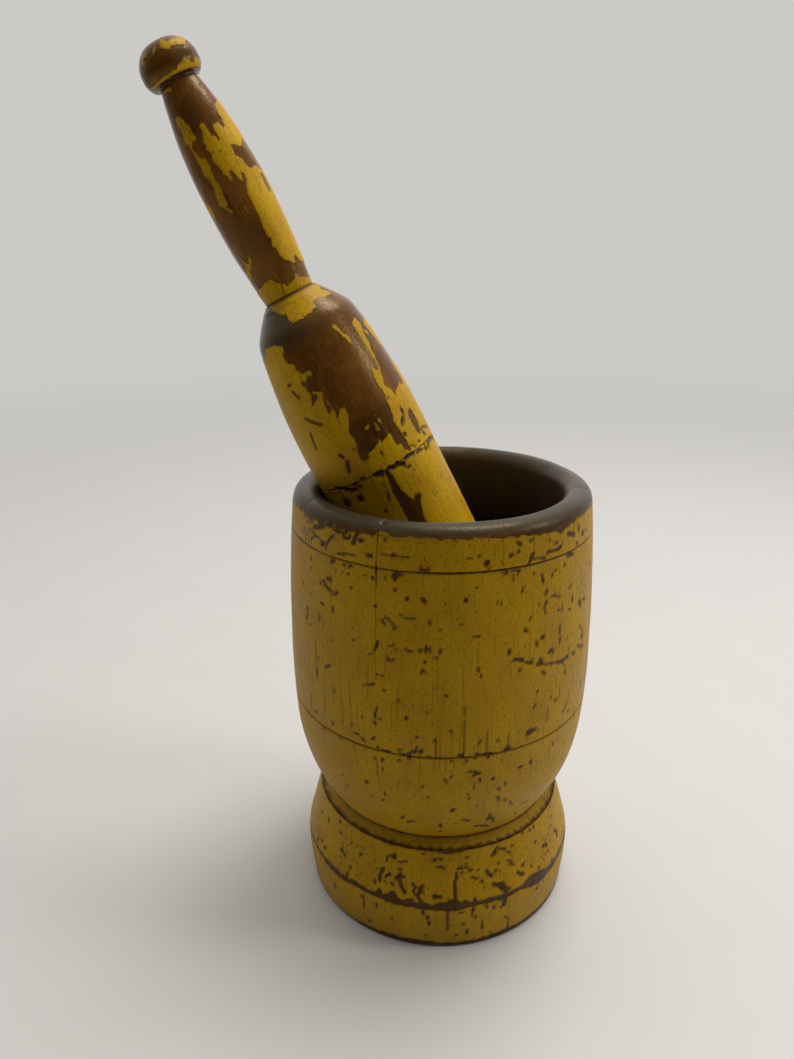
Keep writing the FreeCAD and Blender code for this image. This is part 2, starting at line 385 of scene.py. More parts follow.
# Bare ovals on the barrel: angle, height, width and height in mm, tilt if any.
BARREL_CHIPS = (
    # left of the front
    (-27.4, 171.4, 2.4, 1.1, -10), (-18.6, 172.7, 3.2, 0.9), (-21.8, 177.8, 0.9, 0.7),
    (-30.6, 176.2, 2.2, 1.5, 15), (-9.6, 169.2, 0.7, 1.6), (-8.4, 168.4, 1.2, 0.7),
    (-7.2, 168.8, 0.5, 1.4), (-43, 165.6, 0.8, 1.8), (-41.6, 166.2, 0.7, 1.2), (-37, 166, 1.2, 0.8),
    (-34.4, 166.2, 1.6, 0.7), (-18, 165.6, 1.9, 3.2, -15), (-16.6, 166.2, 2.4, 0.8),
    (-25.8, 163.8, 1, 1.2), (-28.8, 164.2, 0.8, 0.7), (-21.4, 164.3, 0.8, 0.6), (-35.3, 163, 0.9, 0.8),
    (-37.8, 163, 0.8, 0.9), (-40.8, 162.6, 0.7, 0.6), (-55, 163, 0.9, 2), (-18, 160.5, 1.1, 1.1),
    (-54.4, 159.6, 1, 0.6), (-14, 157.8, 1.1, 1.2), (-8.2, 157.2, 1.5, 1.1, -10), (-8.8, 158.4, 0.7, 0.5),
    (-24.6, 153.4, 0.9, 0.6), (-20.9, 150, 1.2, 0.5, -25), (-18.2, 145.7, 0.9, 0.7),
    (-47.5, 147.9, 1.8, 1, -10), (-42, 147.4, 0.8, 1.8, 10), (-49.2, 141.8, 0.8, 2.4),
    (-6.4, 149.4, 0.5, 1.4), (-3.2, 147, 0.8, 0.6), (-9.4, 138.8, 0.7, 1.4), (-7.6, 139.8, 0.8, 2.2),
    (-6.4, 139.6, 0.6, 1.8), (-4.2, 136.3, 0.9, 1), (-3, 138.8, 0.6, 1.4, -20), (-33, 138.4, 0.9, 0.8),
    (-55, 136.5, 1, 0.9), (-8.2, 131.2, 0.9, 0.8), (-23.8, 127.2, 0.8, 0.7), (-22, 126.9, 0.7, 0.6),
    (-28.8, 121.8, 0.7, 0.5), (-21.5, 121.1, 1.1, 0.7), (-0.8, 121.6, 0.9, 0.9), (-24.9, 106.9, 1.2, 1.2),
    (-24.2, 113, 0.5, 1.3), (-23, 109.2, 1, 0.7, 30), (-29.9, 107.9, 0.8, 1.1), (-34.3, 102.6, 0.7, 1.1),
    (-32.4, 99.3, 2.2, 0.9, -10), (-26.1, 99.7, 0.9, 0.7), (-43.4, 99.4, 1, 1.4), (-53.6, 99.4, 1, 1.2),
    (-13.8, 111.4, 0.7, 1.2), (-7.2, 114.3, 0.7, 0.6), (-10.4, 103.7, 1, 0.9), (-4.2, 102.8, 0.9, 1),
    (-22.7, 91.2, 1, 1.5, -15), (-25.6, 90.9, 0.7, 0.9), (-40.4, 93.9, 1.6, 0.6, -10), (-49, 93.6, 1, 0.7),
    # right of the front
    (23.2, 175.9, 2.2, 1.1, -35), (28.2, 176.3, 1.6, 0.7), (6, 172.6, 1.5, 0.5, -15),
    (9.3, 173.2, 0.7, 0.8), (11.7, 170.5, 2, 2), (12.4, 168.4, 0.6, 0.8), (20.3, 172.2, 1.5, 1.2, 20),
    (23, 173.1, 1.1, 1.3), (29.4, 169.3, 1.2, 0.5), (39.4, 172.9, 1.4, 0.7), (53.2, 174.6, 1.4, 2.2),
    (56.6, 171.5, 2.4, 1.6, -20), (60.2, 171.7, 1.2, 0.9, -20), (52.2, 169.4, 1.2, 0.6, -30),
    (47.2, 166.4, 4.4, 1.7, -10), (21, 164.6, 0.9, 0.8), (21.4, 163.4, 0.5, 0.8), (34.8, 156.6, 1, 1.1),
    (34.2, 155, 1.2, 0.5), (34.6, 151.9, 1.4, 1.1), (33.8, 150.4, 0.6, 0.9), (39, 162.9, 1.1, 0.9),
    (43.8, 163.5, 1.1, 1.2), (37.3, 161.5, 0.7, 1), (5, 157.6, 1.6, 1.6), (8.6, 161.9, 0.6, 0.7),
    (15.6, 155.7, 0.4, 1), (16.8, 155.5, 0.4, 1), (31.4, 152, 0.7, 0.7), (47.2, 153.6, 1.4, 0.7, -25),
    (49, 148.6, 0.9, 2), (40.7, 147.3, 1.1, 1), (42.6, 147, 0.6, 2), (47.3, 145, 1, 0.6),
    (26.2, 143.4, 1.5, 1.4), (33.3, 138.8, 1.9, 1.6, -30), (30.8, 137.2, 1, 2.2, 20),
    (20.2, 136.3, 1.4, 1.8, 10), (41.7, 139, 0.6, 2.4), (24.2, 128.4, 1.3, 0.9, -10),
    (10.4, 128.5, 0.7, 1.2), (58.2, 129.2, 2, 1.9), (38.9, 112.2, 0.7, 0.9), (41.7, 109.6, 1.1, 1.5),
    (46.2, 119.8, 0.7, 1.6), (32, 117.4, 0.8, 1.2, -20), (31.3, 111.2, 0.8, 1.4, -30),
    (50.8, 100.3, 1.3, 0.7), (17.2, 100.9, 0.9, 1), (10.7, 101.4, 0.8, 1.6, -20), (1, 106.8, 1, 1.1),
    (42.8, 89.2, 0.7, 1.8, 10),
    # below the scribed line
    (1.4, 86.6, 0.6, 1.6, -30), (-0.4, 84.5, 0.7, 1.7, 25), (8.2, 88.4, 2.2, 1, 10), (10, 87.6, 1.6, 1.6),
    (11.4, 87.4, 0.8, 1.2), (11.6, 84, 0.8, 1.6, 25), (16.3, 83.6, 1.2, 1.4), (9.6, 81.4, 0.5, 1.8),
    (27.2, 85.6, 1.8, 0.8), (31.7, 86.1, 0.7, 1.6, 25), (-29.8, 77.8, 1.2, 1.6), (-22.6, 74.4, 0.6, 1.6),
    (-6.7, 76.2, 0.9, 0.9), (2.6, 69.2, 1.6, 2.2, -25), (19.4, 73, 1.2, 1.8, 10), (20.2, 71.4, 1, 1.2),
    (23.2, 70, 0.8, 1.8, 20), (25.8, 67.6, 0.9, 1.6, 15), (13.4, 56.2, 1.5, 1.8, 40),
    (18.2, 60.4, 2.1, 2.6, 30), (17.9, 63.2, 0.9, 1.4, 40), (-1.8, 58.8, 1, 2.2), (-1.8, 53.7, 0.8, 1.2),
    (4.4, 60, 0.9, 0.8), (7.4, 77.4, 0.6, 0.8), (8.2, 75.2, 0.6, 0.9), (34.6, 62.8, 2.6, 0.8),
)

# Bare lines on the barrel: width in mm, then angle and height of each point.
BARREL_SCRATCHES = (
    (0.35, (-22.4, 172.8), (-13.6, 172.7)), (0.5, (-39.6, 169.4), (-36, 170.2), (-33, 170.4)),
    (0.8, (-45.2, 158.6), (-43, 158.6)), (1.1, (-46.6, 157), (-46, 155.9), (-43.6, 154.5)),
    (0.7, (-43.4, 154.3), (-41.6, 153.6), (-40.2, 154.2), (-39.8, 155)),
    (0.4, (-16.4, 151.8), (-15.4, 151.2), (-11.6, 150.5)), (0.5, (-22.3, 148.6), (-21.3, 147.3)),
    (0.45, (-19.7, 149.2), (-18.8, 147.5), (-17.2, 147.2)),
    (0.6, (-57, 143), (-56.4, 140), (-57.6, 137.8)), (0.7, (-24.9, 136.8), (-24.2, 138), (-23.7, 140.2)),
    (0.4, (-20, 139.4), (-18, 139.9)), (0.5, (-14, 139), (-13.5, 138.2), (-12.2, 138.1)),
    (0.8, (-20.3, 135), (-19.9, 133.7), (-19, 133.4), (-18.4, 134.4)), (0.5, (-27, 134.3), (-25.8, 135.2)),
    (0.55, (-27.3, 122.1), (-25.9, 122.7), (-24.8, 123.6)),
    (0.8, (-45.9, 122.4), (-45, 123.4), (-43.8, 124.2)), (0.8, (-51.4, 119.6), (-51, 117)),
    (0.5, (-24.9, 111.4), (-24.8, 108.8)), (0.7, (-30.2, 98.8), (-30, 97.5), (-29.2, 97.2)),
    (1.1, (28.9, 171.3), (27.9, 170.1)), (0.6, (27.9, 169.8), (26.9, 168.2)),
    (0.6, (31.6, 169.2), (33.8, 168.4)), (0.8, (35.2, 170.6), (38, 170.2), (40, 170.3), (42, 171)),
    (1.3, (46, 174.4), (47.4, 173.9), (49.8, 173.1)), (0.6, (17.2, 166.3), (19, 166.2)),
    (0.6, (20.6, 166.4), (23.4, 166.4), (22.8, 165.2)), (0.8, (32.5, 163), (33.3, 159.6)),
    (0.6, (36.8, 153.9), (39, 153.2), (41.4, 152)), (0.6, (24.9, 159.6), (24.5, 158.2)),
    (1.1, (54.2, 146), (54.5, 144)), (0.8, (58.4, 145.1), (59.6, 144.4)),
    (0.4, (28.1, 148.2), (27.7, 147)), (0.4, (3, 149.1), (4.3, 148.4)), (0.45, (7.4, 144.2), (9.8, 144)),
    (1.2, (22, 132.9), (24, 132.6), (25.4, 131.8)), (0.9, (26.5, 131), (29, 129.7)),
    (0.5, (34.4, 127.7), (37.2, 126.9)), (0.8, (37, 126.9), (38.6, 126.5)),
    (0.9, (39.9, 126.2), (42, 125.6), (44, 125.3)), (1.6, (44, 125.2), (47.4, 125.5)),
    (1.2, (51, 125.4), (52.2, 124.8)), (0.8, (54.8, 127), (56.2, 125.7), (58, 124.8), (60.4, 124.4)),
    (0.5, (55, 135.2), (57, 133.4), (59.6, 130.6)), (0.7, (36.2, 131.8), (38.6, 131)),
    (0.4, (37.2, 132.7), (39.4, 132)), (0.6, (42.2, 135.4), (42.2, 132.8)),
    (0.5, (9.2, 132.2), (9.8, 130.5)), (0.7, (33.6, 124.8), (35.2, 123.4)),
    (0.5, (46, 101.8), (48, 103), (50.2, 105.8)), (0.9, (-15, 59.4), (-12.6, 60.4)),
    (0.5, (-17.4, 61), (-16.2, 63)), (0.7, (7.2, 62.2), (8.6, 61.6), (9.6, 61.2)),
    (0.8, (15.2, 56), (17.4, 54.8), (19.6, 53.6)), (0.6, (20.2, 60), (20.8, 56.4)),
    (0.6, (31.6, 57.6), (33, 55.8)), (0.5, (21.4, 80.6), (21.8, 78)), (0.7, (18.8, 78), (19.7, 77)),
)

# Larger bare patches on the barrel and on the foot, as outlines.
MORTAR_BLOTS = (
    ((32.6, 131.2), (33.8, 129.4), (34, 127.8), (32.4, 127.8), (31, 128.2), (30.8, 129.2), (32, 130)),
    ((28.2, 100.4), (28.6, 101.6), (29.8, 102.3), (31, 101.6), (32.8, 101.2), (33, 100.3), (31.2, 100.1),
     (29.8, 99.6), (28.6, 99.6)),
    ((19.6, 29.2), (20.8, 29.4), (21.6, 28.7), (23.4, 28.5), (25.2, 28.2), (25.4, 27), (26.4, 26),
     (24.2, 24.8), (22.9, 26.2), (22.3, 27.4), (21, 27.6), (20, 28.1)),
)

# Streaks where paint has lifted along the grain: angle, lowest, highest, width in mm.
BARREL_STREAKS = (
    (5.5, 95.6, 102.8, 0.8), (5.5, 104.6, 110.4, 0.4), (5.2, 113.6, 116.6, 0.3), (0.8, 101.6, 109, 0.3),
    (-4.1, 95, 100.6, 0.4), (3.6, 96.6, 102, 0.25), (8.6, 96.6, 103, 0.3), (13.4, 97, 104, 0.25),
    (19.3, 111.6, 121.4, 0.25), (21.4, 96.6, 103.4, 0.3), (37.6, 102.8, 108.4, 0.3),
    (43.3, 106.6, 118, 0.3), (-56.6, 100, 105.4, 0.9), (-51.4, 117, 129, 0.35), (-24.8, 84.4, 90.2, 0.3),
    (57, 92, 99, 0.35),
)

# Chips that broke out along the lower scribed line.
SCRIBE_CHIPS = (
    (-21.4, 95.5, 3.2, 0.9), (-16.3, 97.1, 1.5, 0.6), (-15, 95.4, 2, 0.7), (-13, 94.7, 1.6, 1.3),
    (-13, 96.4, 1.1, 0.9), (-11, 97.5, 1.9, 1.3, 15), (-9, 97.6, 1.4, 1.8, -30), (-10.5, 99.5, 0.6, 0.8),
    (-6.4, 95.8, 0.9, 0.5), (4.2, 96.2, 1.7, 1.3), (10, 96, 1.4, 1.2), (12.6, 95.7, 2.2, 1),
    (14.6, 95.6, 2.2, 1), (20.6, 96, 1.6, 1.4), (21.9, 96.6, 0.7, 1.4), (9.4, 94.2, 1, 0.6),
    (14.1, 94.2, 0.8, 0.8), (6.4, 93.6, 0.5, 1.2), (1.2, 94, 0.9, 0.6), (-24.2, 96.4, 0.7, 0.9),
)

# Chips on the foot's flare, then on its band.
FOOT_CHIPS = (
    (-52.6, 42.4, 1.4, 1.4), (-8.8, 43.4, 0.8, 0.8), (-4, 41.2, 1.5, 0.7), (-1.6, 41.5, 1.2, 0.6),
    (-21.3, 40.2, 1.5, 2.2), (-22.6, 39.8, 1.2, 0.4), (-18.9, 38.2, 0.9, 0.5), (-18.4, 35.6, 1.4, 0.5),
    (-61, 38, 0.9, 1.8, 25), (-50.8, 38.4, 1.4, 0.6, 20), (-42.9, 37.9, 0.9, 0.8), (-37.2, 35.6, 1.1, 1.1),
    (-24.4, 29.4, 0.8, 0.5), (-21.2, 29.1, 1.4, 1, -10), (-11.8, 26.6, 0.8, 0.7),
    (-12.3, 27.9, 0.8, 1.2, -30), (-41.4, 27.9, 1.3, 0.7, 10), (-62.6, 27.4, 1.6, 0.9),
    (-59, 26.4, 1.8, 1), (-28.8, 27.4, 0.8, 1.3, 25), (-42.4, 24.6, 1, 1.8), (9.2, 37.6, 1.2, 0.5),
    (9.6, 38.8, 1, 0.4), (11, 36.4, 1.4, 0.7, 10), (7.5, 35.9, 0.8, 0.8), (14.2, 35.9, 0.8, 0.6),
    (9.8, 41.8, 1, 0.5), (15.6, 31, 1.2, 1), (16.4, 28.6, 0.5, 0.6), (22.2, 40.6, 1.8, 0.9, 20),
    (27.4, 41.2, 1, 0.5), (31.4, 41.1, 1, 0.6), (29.2, 39.1, 1.5, 0.8, -25), (23.6, 36.4, 0.9, 0.5),
    (22, 33.6, 1.3, 0.9, 10), (24.1, 33.2, 0.8, 0.9), (35.6, 31.3, 1.3, 1.1), (40, 28.5, 0.8, 0.9),
    (44.4, 25.8, 0.9, 1), (45.2, 36.6, 1.2, 0.9), (45.7, 43, 0.9, 1.4, 15), (42.9, 43, 1.1, 0.8),
    (38.4, 43.8, 0.9, 0.7), (52.2, 28.6, 1.3, 1.1), (-27.2, 17.1, 1.1, 2.4, 10), (-6.4, 16.8, 1.2, 2, 15),
    (-6, 13.6, 0.7, 1.8), (-20.9, 12.6, 0.6, 0.9), (-50, 13.2, 0.8, 2.2), (-31.4, 5.9, 1.4, 0.7),
    (-7.4, 6, 0.7, 0.8), (6.6, 19.2, 1.6, 0.8, 20), (1, 16.4, 0.8, 0.9), (10.9, 17.4, 0.6, 1.4),
    (12.5, 16, 0.6, 1.4), (23.4, 17.1, 0.9, 1), (42.3, 16.4, 1.3, 1.5, 30), (7.8, 12.9, 1.2, 0.6, -20),
    (2, 12.6, 0.7, 0.7), (9.2, 8.2, 1, 2.6), (4.9, 6.9, 0.6, 1), (17, 20, 0.8, 1.4, 25),
    (20.2, 18.8, 0.7, 1.8, 10), (11.3, 19.8, 1.3, 2.2), (24.8, 19.4, 2, 4), (-8.2, 19.4, 0.9, 2.6),
)

FOOT_SCRATCHES = (
    (0.5, (-3, 38.6), (-1, 38.4), (0.2, 37.6)), (0.4, (-24.6, 39.4), (-24.5, 37.6)),
    (0.45, (-18.6, 38.4), (-17.4, 39), (-15.8, 38.9)), (0.8, (-48.2, 32.2), (-46.6, 31.6), (-45.4, 31.1)),
    (0.9, (-25.6, 34.2), (-26.4, 32.4), (-26.8, 30.8), (-26.7, 29)),
    (0.8, (-24.2, 31.3), (-23.2, 32), (-22.6, 32.7)), (1.2, (-20, 31.7), (-18.8, 32.2), (-18, 33.6)),
    (0.7, (-18, 33), (-16.4, 33)), (1.2, (-18.4, 31.2), (-17.6, 29.6), (-17, 28.4), (-15.8, 26.8)),
    (0.9, (-12.9, 31), (-12.2, 30), (-11.5, 29.5)),
    (1.2, (-9, 30.4), (-9.9, 28.6), (-10.3, 27.2), (-10.8, 26.5)), (0.8, (-9, 29.4), (-8.6, 28)),
    (0.8, (-10.6, 26.4), (-9.8, 25), (-8.8, 24)), (1.2, (-3.9, 26.8), (-1.4, 26.6)),
    (0.6, (7.4, 38), (5.6, 37.3)), (0.8, (5.1, 36), (4.8, 33.4), (4, 32)),
    (1.1, (4.1, 31.8), (4.4, 28), (4.4, 26)), (0.5, (11, 33.6), (12, 33.4), (13.8, 32.4)),
    (1.1, (18.2, 34.8), (18.8, 33.2), (20.2, 32.2)), (0.8, (20.8, 40.4), (22.2, 41), (23, 42.4)),
    (0.6, (24, 43), (25, 42), (26, 41.6)), (0.6, (28.2, 36), (30, 35.2)),
    (0.8, (28.8, 34.3), (30, 34), (31.2, 33.3)), (1.2, (32.4, 29.4), (33.2, 28.6), (35, 27.7)),
    (1.2, (49.4, 32.4), (50.8, 32), (52.2, 31.3)),
    (0.9, (60.6, 32.4), (62, 32), (63.5, 30.3), (62.6, 28.9)), (0.9, (25, 24.6), (27.6, 24.8)),
    (0.5, (-33.9, 19), (-33.6, 16.6), (-33.4, 12.5)), (0.5, (15.4, 12.4), (15.7, 8.2)),
    (0.4, (25.4, 11.2), (27, 9), (28.6, 8.2)), (0.4, (27.7, 6.8), (27.9, 3)),
    (0.3, (1.4, 20.6), (1.4, 10)),
)

# Fine broken network where paint flakes below the rim on the left.
RIM_FLAKES = (
    (1.4, (-53, 175.6), (-50, 176.6), (-47.4, 177.5)), (0.5, (-51.6, 178.8), (-47, 178.2)),
    (0.7, (-56, 178.4), (-54.2, 177)), (0.5, (-55, 174), (-53, 173), (-50, 172.4), (-46.4, 171.2)),
    (0.7, (-46.4, 171.2), (-44.6, 172.7), (-43.8, 174.2), (-42, 175.4)),
    (0.9, (-48.4, 170.4), (-46.4, 171.3)), (0.5, (-45.9, 169.4), (-45.4, 171)),
    (0.5, (-55.2, 170.6), (-53, 171.8)), (0.5, (-41, 180), (-40.7, 178), (-40, 176.8)),
    (0.6, (-46, 178.6), (-43, 178), (-40.6, 177.3), (-36, 178)),
    (0.8, (-38.3, 177.4), (-37.4, 175.9), (-35.6, 175.8), (-34.9, 177)),
    (1.3, (-32, 178.8), (-33.6, 174.5)),
)

# Height of the paint's upper edge under the rim, by angle.
RIM_EDGE = (
    (-180, 178.6), (-150, 177), (-120, 178.4), (-95, 176.8), (-75, 178.2), (-66, 179.6), (-62, 179),
    (-58, 178.2), (-55, 177.8), (-50, 179), (-42, 179.2), (-41, 178.2), (-38, 179), (-30, 178.8),
    (-26, 178.5), (-25, 180), (-24, 180.6), (-22, 180), (-20, 179.3), (-12, 179.6), (-5, 179.4),
    (0, 179.6), (3, 179.1), (9, 179.4), (12, 179.3), (20, 178.7), (22, 178.3), (28, 178.4), (30, 177.8),
    (38, 177.4), (40, 176.6), (42, 175.7), (44, 176.6), (48, 178), (50, 177.7), (53, 178.5), (60, 178.7),
    (64, 179.4), (75, 178.4), (95, 176.8), (125, 178.4), (155, 177.2), (180, 178.6),
)

# Upper edge of the bare band worn along the foot's arris, by angle.
ARRIS_TOP = (
    (-180, 23.2), (-140, 24.2), (-100, 22.8), (-66, 22.8), (-55, 23.1), (-40, 23.2), (-37, 23.8),
    (-35, 23.2), (-28, 23.2), (-27, 25), (-26, 26), (-24.8, 23.8), (-23, 24), (-21.4, 26.2), (-19.7, 26.2),
    (-18.6, 24.2), (-16, 23.4), (-14.4, 24.6), (-12.4, 24.6), (-11.8, 23.4), (-4, 23.3), (-1, 24.2),
    (1, 24.2), (2, 25.2), (5, 25.2), (6.6, 23.8), (7.6, 24.6), (9.4, 24.4), (10, 23.3), (11.2, 23.4),
    (11.6, 25), (12.6, 25), (13, 23.4), (24, 23.2), (34, 23.3), (35.6, 24.4), (40, 24.8), (46, 24),
    (48, 23), (52, 22.8), (54, 23.8), (55, 23), (60, 23), (61, 24), (62, 22.9), (80, 22.6), (120, 24),
    (150, 22.8), (180, 23.2),
)

# Its lower edge.
ARRIS_BOTTOM = (
    (-180, 20.8), (-140, 20.2), (-100, 21.2), (-66, 21.8), (-58, 21.3), (-50, 20.8), (-47, 20.4),
    (-42, 21.2), (-30, 21.6), (-20, 21.2), (-5, 20.9), (0, 20.9), (4, 20.3), (6, 20.8), (10, 21.6),
    (15, 22), (20, 21.8), (25, 20.9), (30, 21.8), (33, 22), (35, 21.2), (38, 20.2), (42, 19.4), (46, 19.2),
    (50, 20), (60, 21), (80, 21.4), (120, 20), (150, 21.2), (180, 20.8),
)

# Height to which the foot's lowest edge is worn bare, by angle.
FOOT_EDGE = (
    (-180, 2), (-120, 3), (-66, 0.9), (-50, 1), (-40, 1.5), (-35, 2.3), (-25, 2.8), (-15, 3), (-5, 3.1),
    (0, 2.1), (10, 2.1), (15, 2.5), (26, 3), (35, 2.6), (50, 2.2), (66, 1.6), (120, 1.2), (180, 2),
)

# Cracks along the grain: angle, lowest, highest, half width in mm.
MORTAR_HAIRLINES = (
    (CHECK_ANGLE, 124, 184, 0.05), (-9, 178, 184, 0.03), (-3, 5, 20, 0.03), (3.2, 179, 184, 0.04),
    (14.6, 60, 120, 0.03), (19, 178, 184, 0.04), (31, 178, 184, 0.03), (46, 178, 184, 0.03),
    (63, 150, 184, 0.04), (88, 176, 184, 0.06), (118, 120, 184, 0.07), (151, 176, 184, 0.06),
    (171, 172, 184, 0.06), (-64, 168, 184, 0.04), (-98, 176, 184, 0.06), (-133, 90, 184, 0.08),
)

# Dents knocked into the rim: angle, height, width in mm, depth in mm.
RIM_DENTS = (
    (-24, 182.6, 0.9, 0.3), (19.5, 182, 0.8, 0.1), (-62, 182.2, 1.6, 0.15), (76, 182.6, 1.4, 0.2),
    (112, 182, 2, 0.25), (-120, 182.4, 2.2, 0.25), (165, 181.6, 1.4, 0.2),
)


def mortar_pitch(radius, height):
    """Row pitch in mm: fine outside, coarse in the bowl and underneath."""
    underneath = height < 0.5 and radius < 56
    in_hollow = radius < MORTAR_HOLLOW[0] and height > MORTAR_HOLLOW[1]
    if underneath:
        return 7.0
    if in_hollow and height < 172:
        return 4.0
    return 0.97


def by_angle(skin, table):
    angles, values = zip(*table)
    return np.interp(skin.angle, angles, values)


def scatter_chips(skin, seed, count, angles, heights, largest):
    """Seeded chips: the sides that no table covers, and the finest marks in front."""
    smallest = 0.9
    draw = np.random.default_rng(seed)
    for _ in range(count):
        angle = draw.uniform(*angles)
        height = draw.uniform(*heights)
        size = smallest + (largest - smallest) * draw.random() ** 3
        slim = draw.uniform(0.35, 1.0)
        tilt = draw.normal(80, 40)
        angle = (angle + 180) % 360 - 180
        skin.chips([(angle, height, size, size * slim, tilt)], depth=0.1)


def wear_mortar(skin):
    angle, height = skin.angle, skin.height
    ragged = ripple(angle, height, 11, 60, 9)
    slow = ripple(angle, height, 12, 9, 40)

    scatter_chips(skin, 21, 80, (70, 290), (50, 176), 3.0)
    scatter_chips(skin, 22, 50, (66, 294), (3, 43), 3.0)
    scatter_chips(skin, 23, 46, (-75, 75), (50, 176), 1.1)
    skin.chips(BARREL_CHIPS, depth=0.12)
    skin.chips(SCRIBE_CHIPS, depth=0.16)
    skin.chips(FOOT_CHIPS, depth=0.14)
    skin.scratches(BARREL_SCRATCHES, depth=0.12)
    skin.scratches(FOOT_SCRATCHES, depth=0.16)
    skin.scratches(RIM_FLAKES, depth=0.08)
    for outline in MORTAR_BLOTS:
        gap = -skin.area(outline)
        skin.strip(gap)
        skin.dent(gap, 0.2)
    narrower = 0.2
    for streak_angle, low, high, width in BARREL_STREAKS:
        middle = (low + high) / 2
        skin.strip(skin.oval(streak_angle, middle, width, high - low) + narrower)

    skin.strip(by_angle(skin, RIM_EDGE) + 0.2 * ragged - height)
    band_top = by_angle(skin, ARRIS_TOP) + 0.12 * ragged
    band_bottom = by_angle(skin, ARRIS_BOTTOM) - 0.12 * ragged
    skin.strip(np.maximum(height - band_top, band_bottom - height))
    skin.strip(np.abs(height - FLARE_TOP) - 0.22 - 0.1 * ragged)
    skin.strip(skin.oval(3.0, FLARE_TOP - 0.5, 7.4, 1.5))
    skin.strip(height - by_angle(skin, FOOT_EDGE) - 0.15 * ragged)
    skin.paint = np.where(skin.outside, skin.paint, -FAR)

    stain_and_shade_mortar(skin, slow)
    skin.hairlines(MORTAR_HAIRLINES)
    open_check(skin)
    worn_shape(skin, ragged, slow)
    skin.finish_relief()


def stain_and_shade_mortar(skin, slow):
    """Dirt and painted shade in the scribed lines, painted shade in the neck, the bowl and under the rim,
    how dense the flecks are, where the wood is greyed: its own aged tone and painted sheen.
    """
    angle, height, outside = skin.angle, skin.height, skin.outside
    # The scribed lines darken a little above their middle, on the upper wall that faces down: dirt and
    # painted shade.
    dirt_and_shade_above_line = 0.12
    for level, strength in ((LOW_SCRIBE, 0.85), (HIGH_SCRIBE, 1.0)):
        skin.stain_and_shade(strength * near(height - level, dirt_and_shade_above_line, 0.3) * (1 + 0.12 * slow), outside)
    # Painted shade under the barrel's bulge, in the neck and the waist below it; the flare's top arris
    # darkens as worn wood.
    for level, strength, reach in ((NECK, 0.92, 0.75), (UNDER_NECK, 0.25, 1.8), (FLARE_TOP, 0.5, 0.3)):
        skin.stain_and_shade(strength * near(height, level, reach), outside)
    # Darker along the foot's lowest edge, which is also worn bare there: painted shade where it meets the
    # table.
    skin.stain_and_shade(0.5 * np.clip(1.6 - height / 1.3, 0, 1), outside)
    shaded_front = near(angle, 1, 9) * np.clip((height - 33) / 11, 0, 1)
    skin.stain_and_shade(0.3 * shaded_front, outside & (height < FLARE_TOP))
    # Painted shade in the bowl, deeper with depth.
    in_bowl = ~outside & (height > MORTAR_HOLLOW[1])
    depth_in = np.clip((RIM_SPRING - height) / 26, 0, 1)
    skin.stain_and_shade(0.1 + 0.85 * depth_in + 0.05 * slow, in_bowl)
    # Painted shade on the rim's outer face below its roll, deeper right of the front.
    under_rim = np.clip((height - 178) / 1.0, 0, 1) * np.clip((182 - height) / 0.6, 0, 1)
    right_of_front = np.clip((angle - 14) / 14, 0, 1) * np.clip((100 - angle) / 30, 0, 1)
    skin.stain_and_shade((0.36 + 0.42 * right_of_front) * under_rim, outside)

    side = np.clip((np.abs(angle + 4) - 28) / 26, 0, 1)
    skin.flecks = 0.3 + 0.38 * side + 0.12 * slow
    for level, density, reach in ((LOW_SCRIBE + 1, 0.2, 5), (RIM_SPRING - 4, 0.25, 6), (32, 0.25, 10)):
        skin.flecks = skin.flecks + density * near(height, level, reach)
    # Greyness on the rim and in the bowl: the old wood's own tone and painted sheen.
    skin.grey_and_sheen = np.clip((height - RIM_GREY_AND_SHEEN_FROM) / 2.2, 0, 1) + 0 * angle
    skin.grey_and_sheen = np.where(in_bowl, 1.0, skin.grey_and_sheen)
    # The rim's top darkens a little all round, and more left of the front: painted shade where less light
    # falls.
    left_of_front = np.clip((-angle - 8) / 30, 0, 1) * np.clip((angle + 120) / 30, 0, 1)
    skin.stain_and_shade(0.22 + 0.35 * left_of_front, height > RIM_SPRING + 1)
    bare = outside & (skin.paint < BARE_EDGE)
    skin.stain_and_shade(0.64, bare & (height < RIM_SPRING + 1.4))


def open_check(skin):
    """The drying check: a hair-thin slit, open at the rim, its lips worn bare below the scribed line."""
    wander = 0.12 * np.sin(skin.height / 7.0) + 0.08 * np.sin(skin.height / 2.3)
    opening = np.clip((skin.height - 120) / 60, 0, 1)
    half_width = 0.10 + 0.08 * opening
    depth = 0.9 * opening**2
    gap = np.abs(skin.around(CHECK_ANGLE) - wander)
    slit = np.clip(1 - gap / half_width, 0, 1) * depth
    lowest_outside, lowest_inside = 78, 165
    above_bowl = (skin.outside & (skin.height > lowest_outside)) | (skin.height > lowest_inside)
    skin.sunk = np.maximum(skin.sunk, np.where(above_bowl, slit, 0))
    bare_lips = np.exp(-((skin.height - 165.5) / 4.8) ** 4)
    skin.strip(gap - 0.3 + 0.9 * (1 - bare_lips))


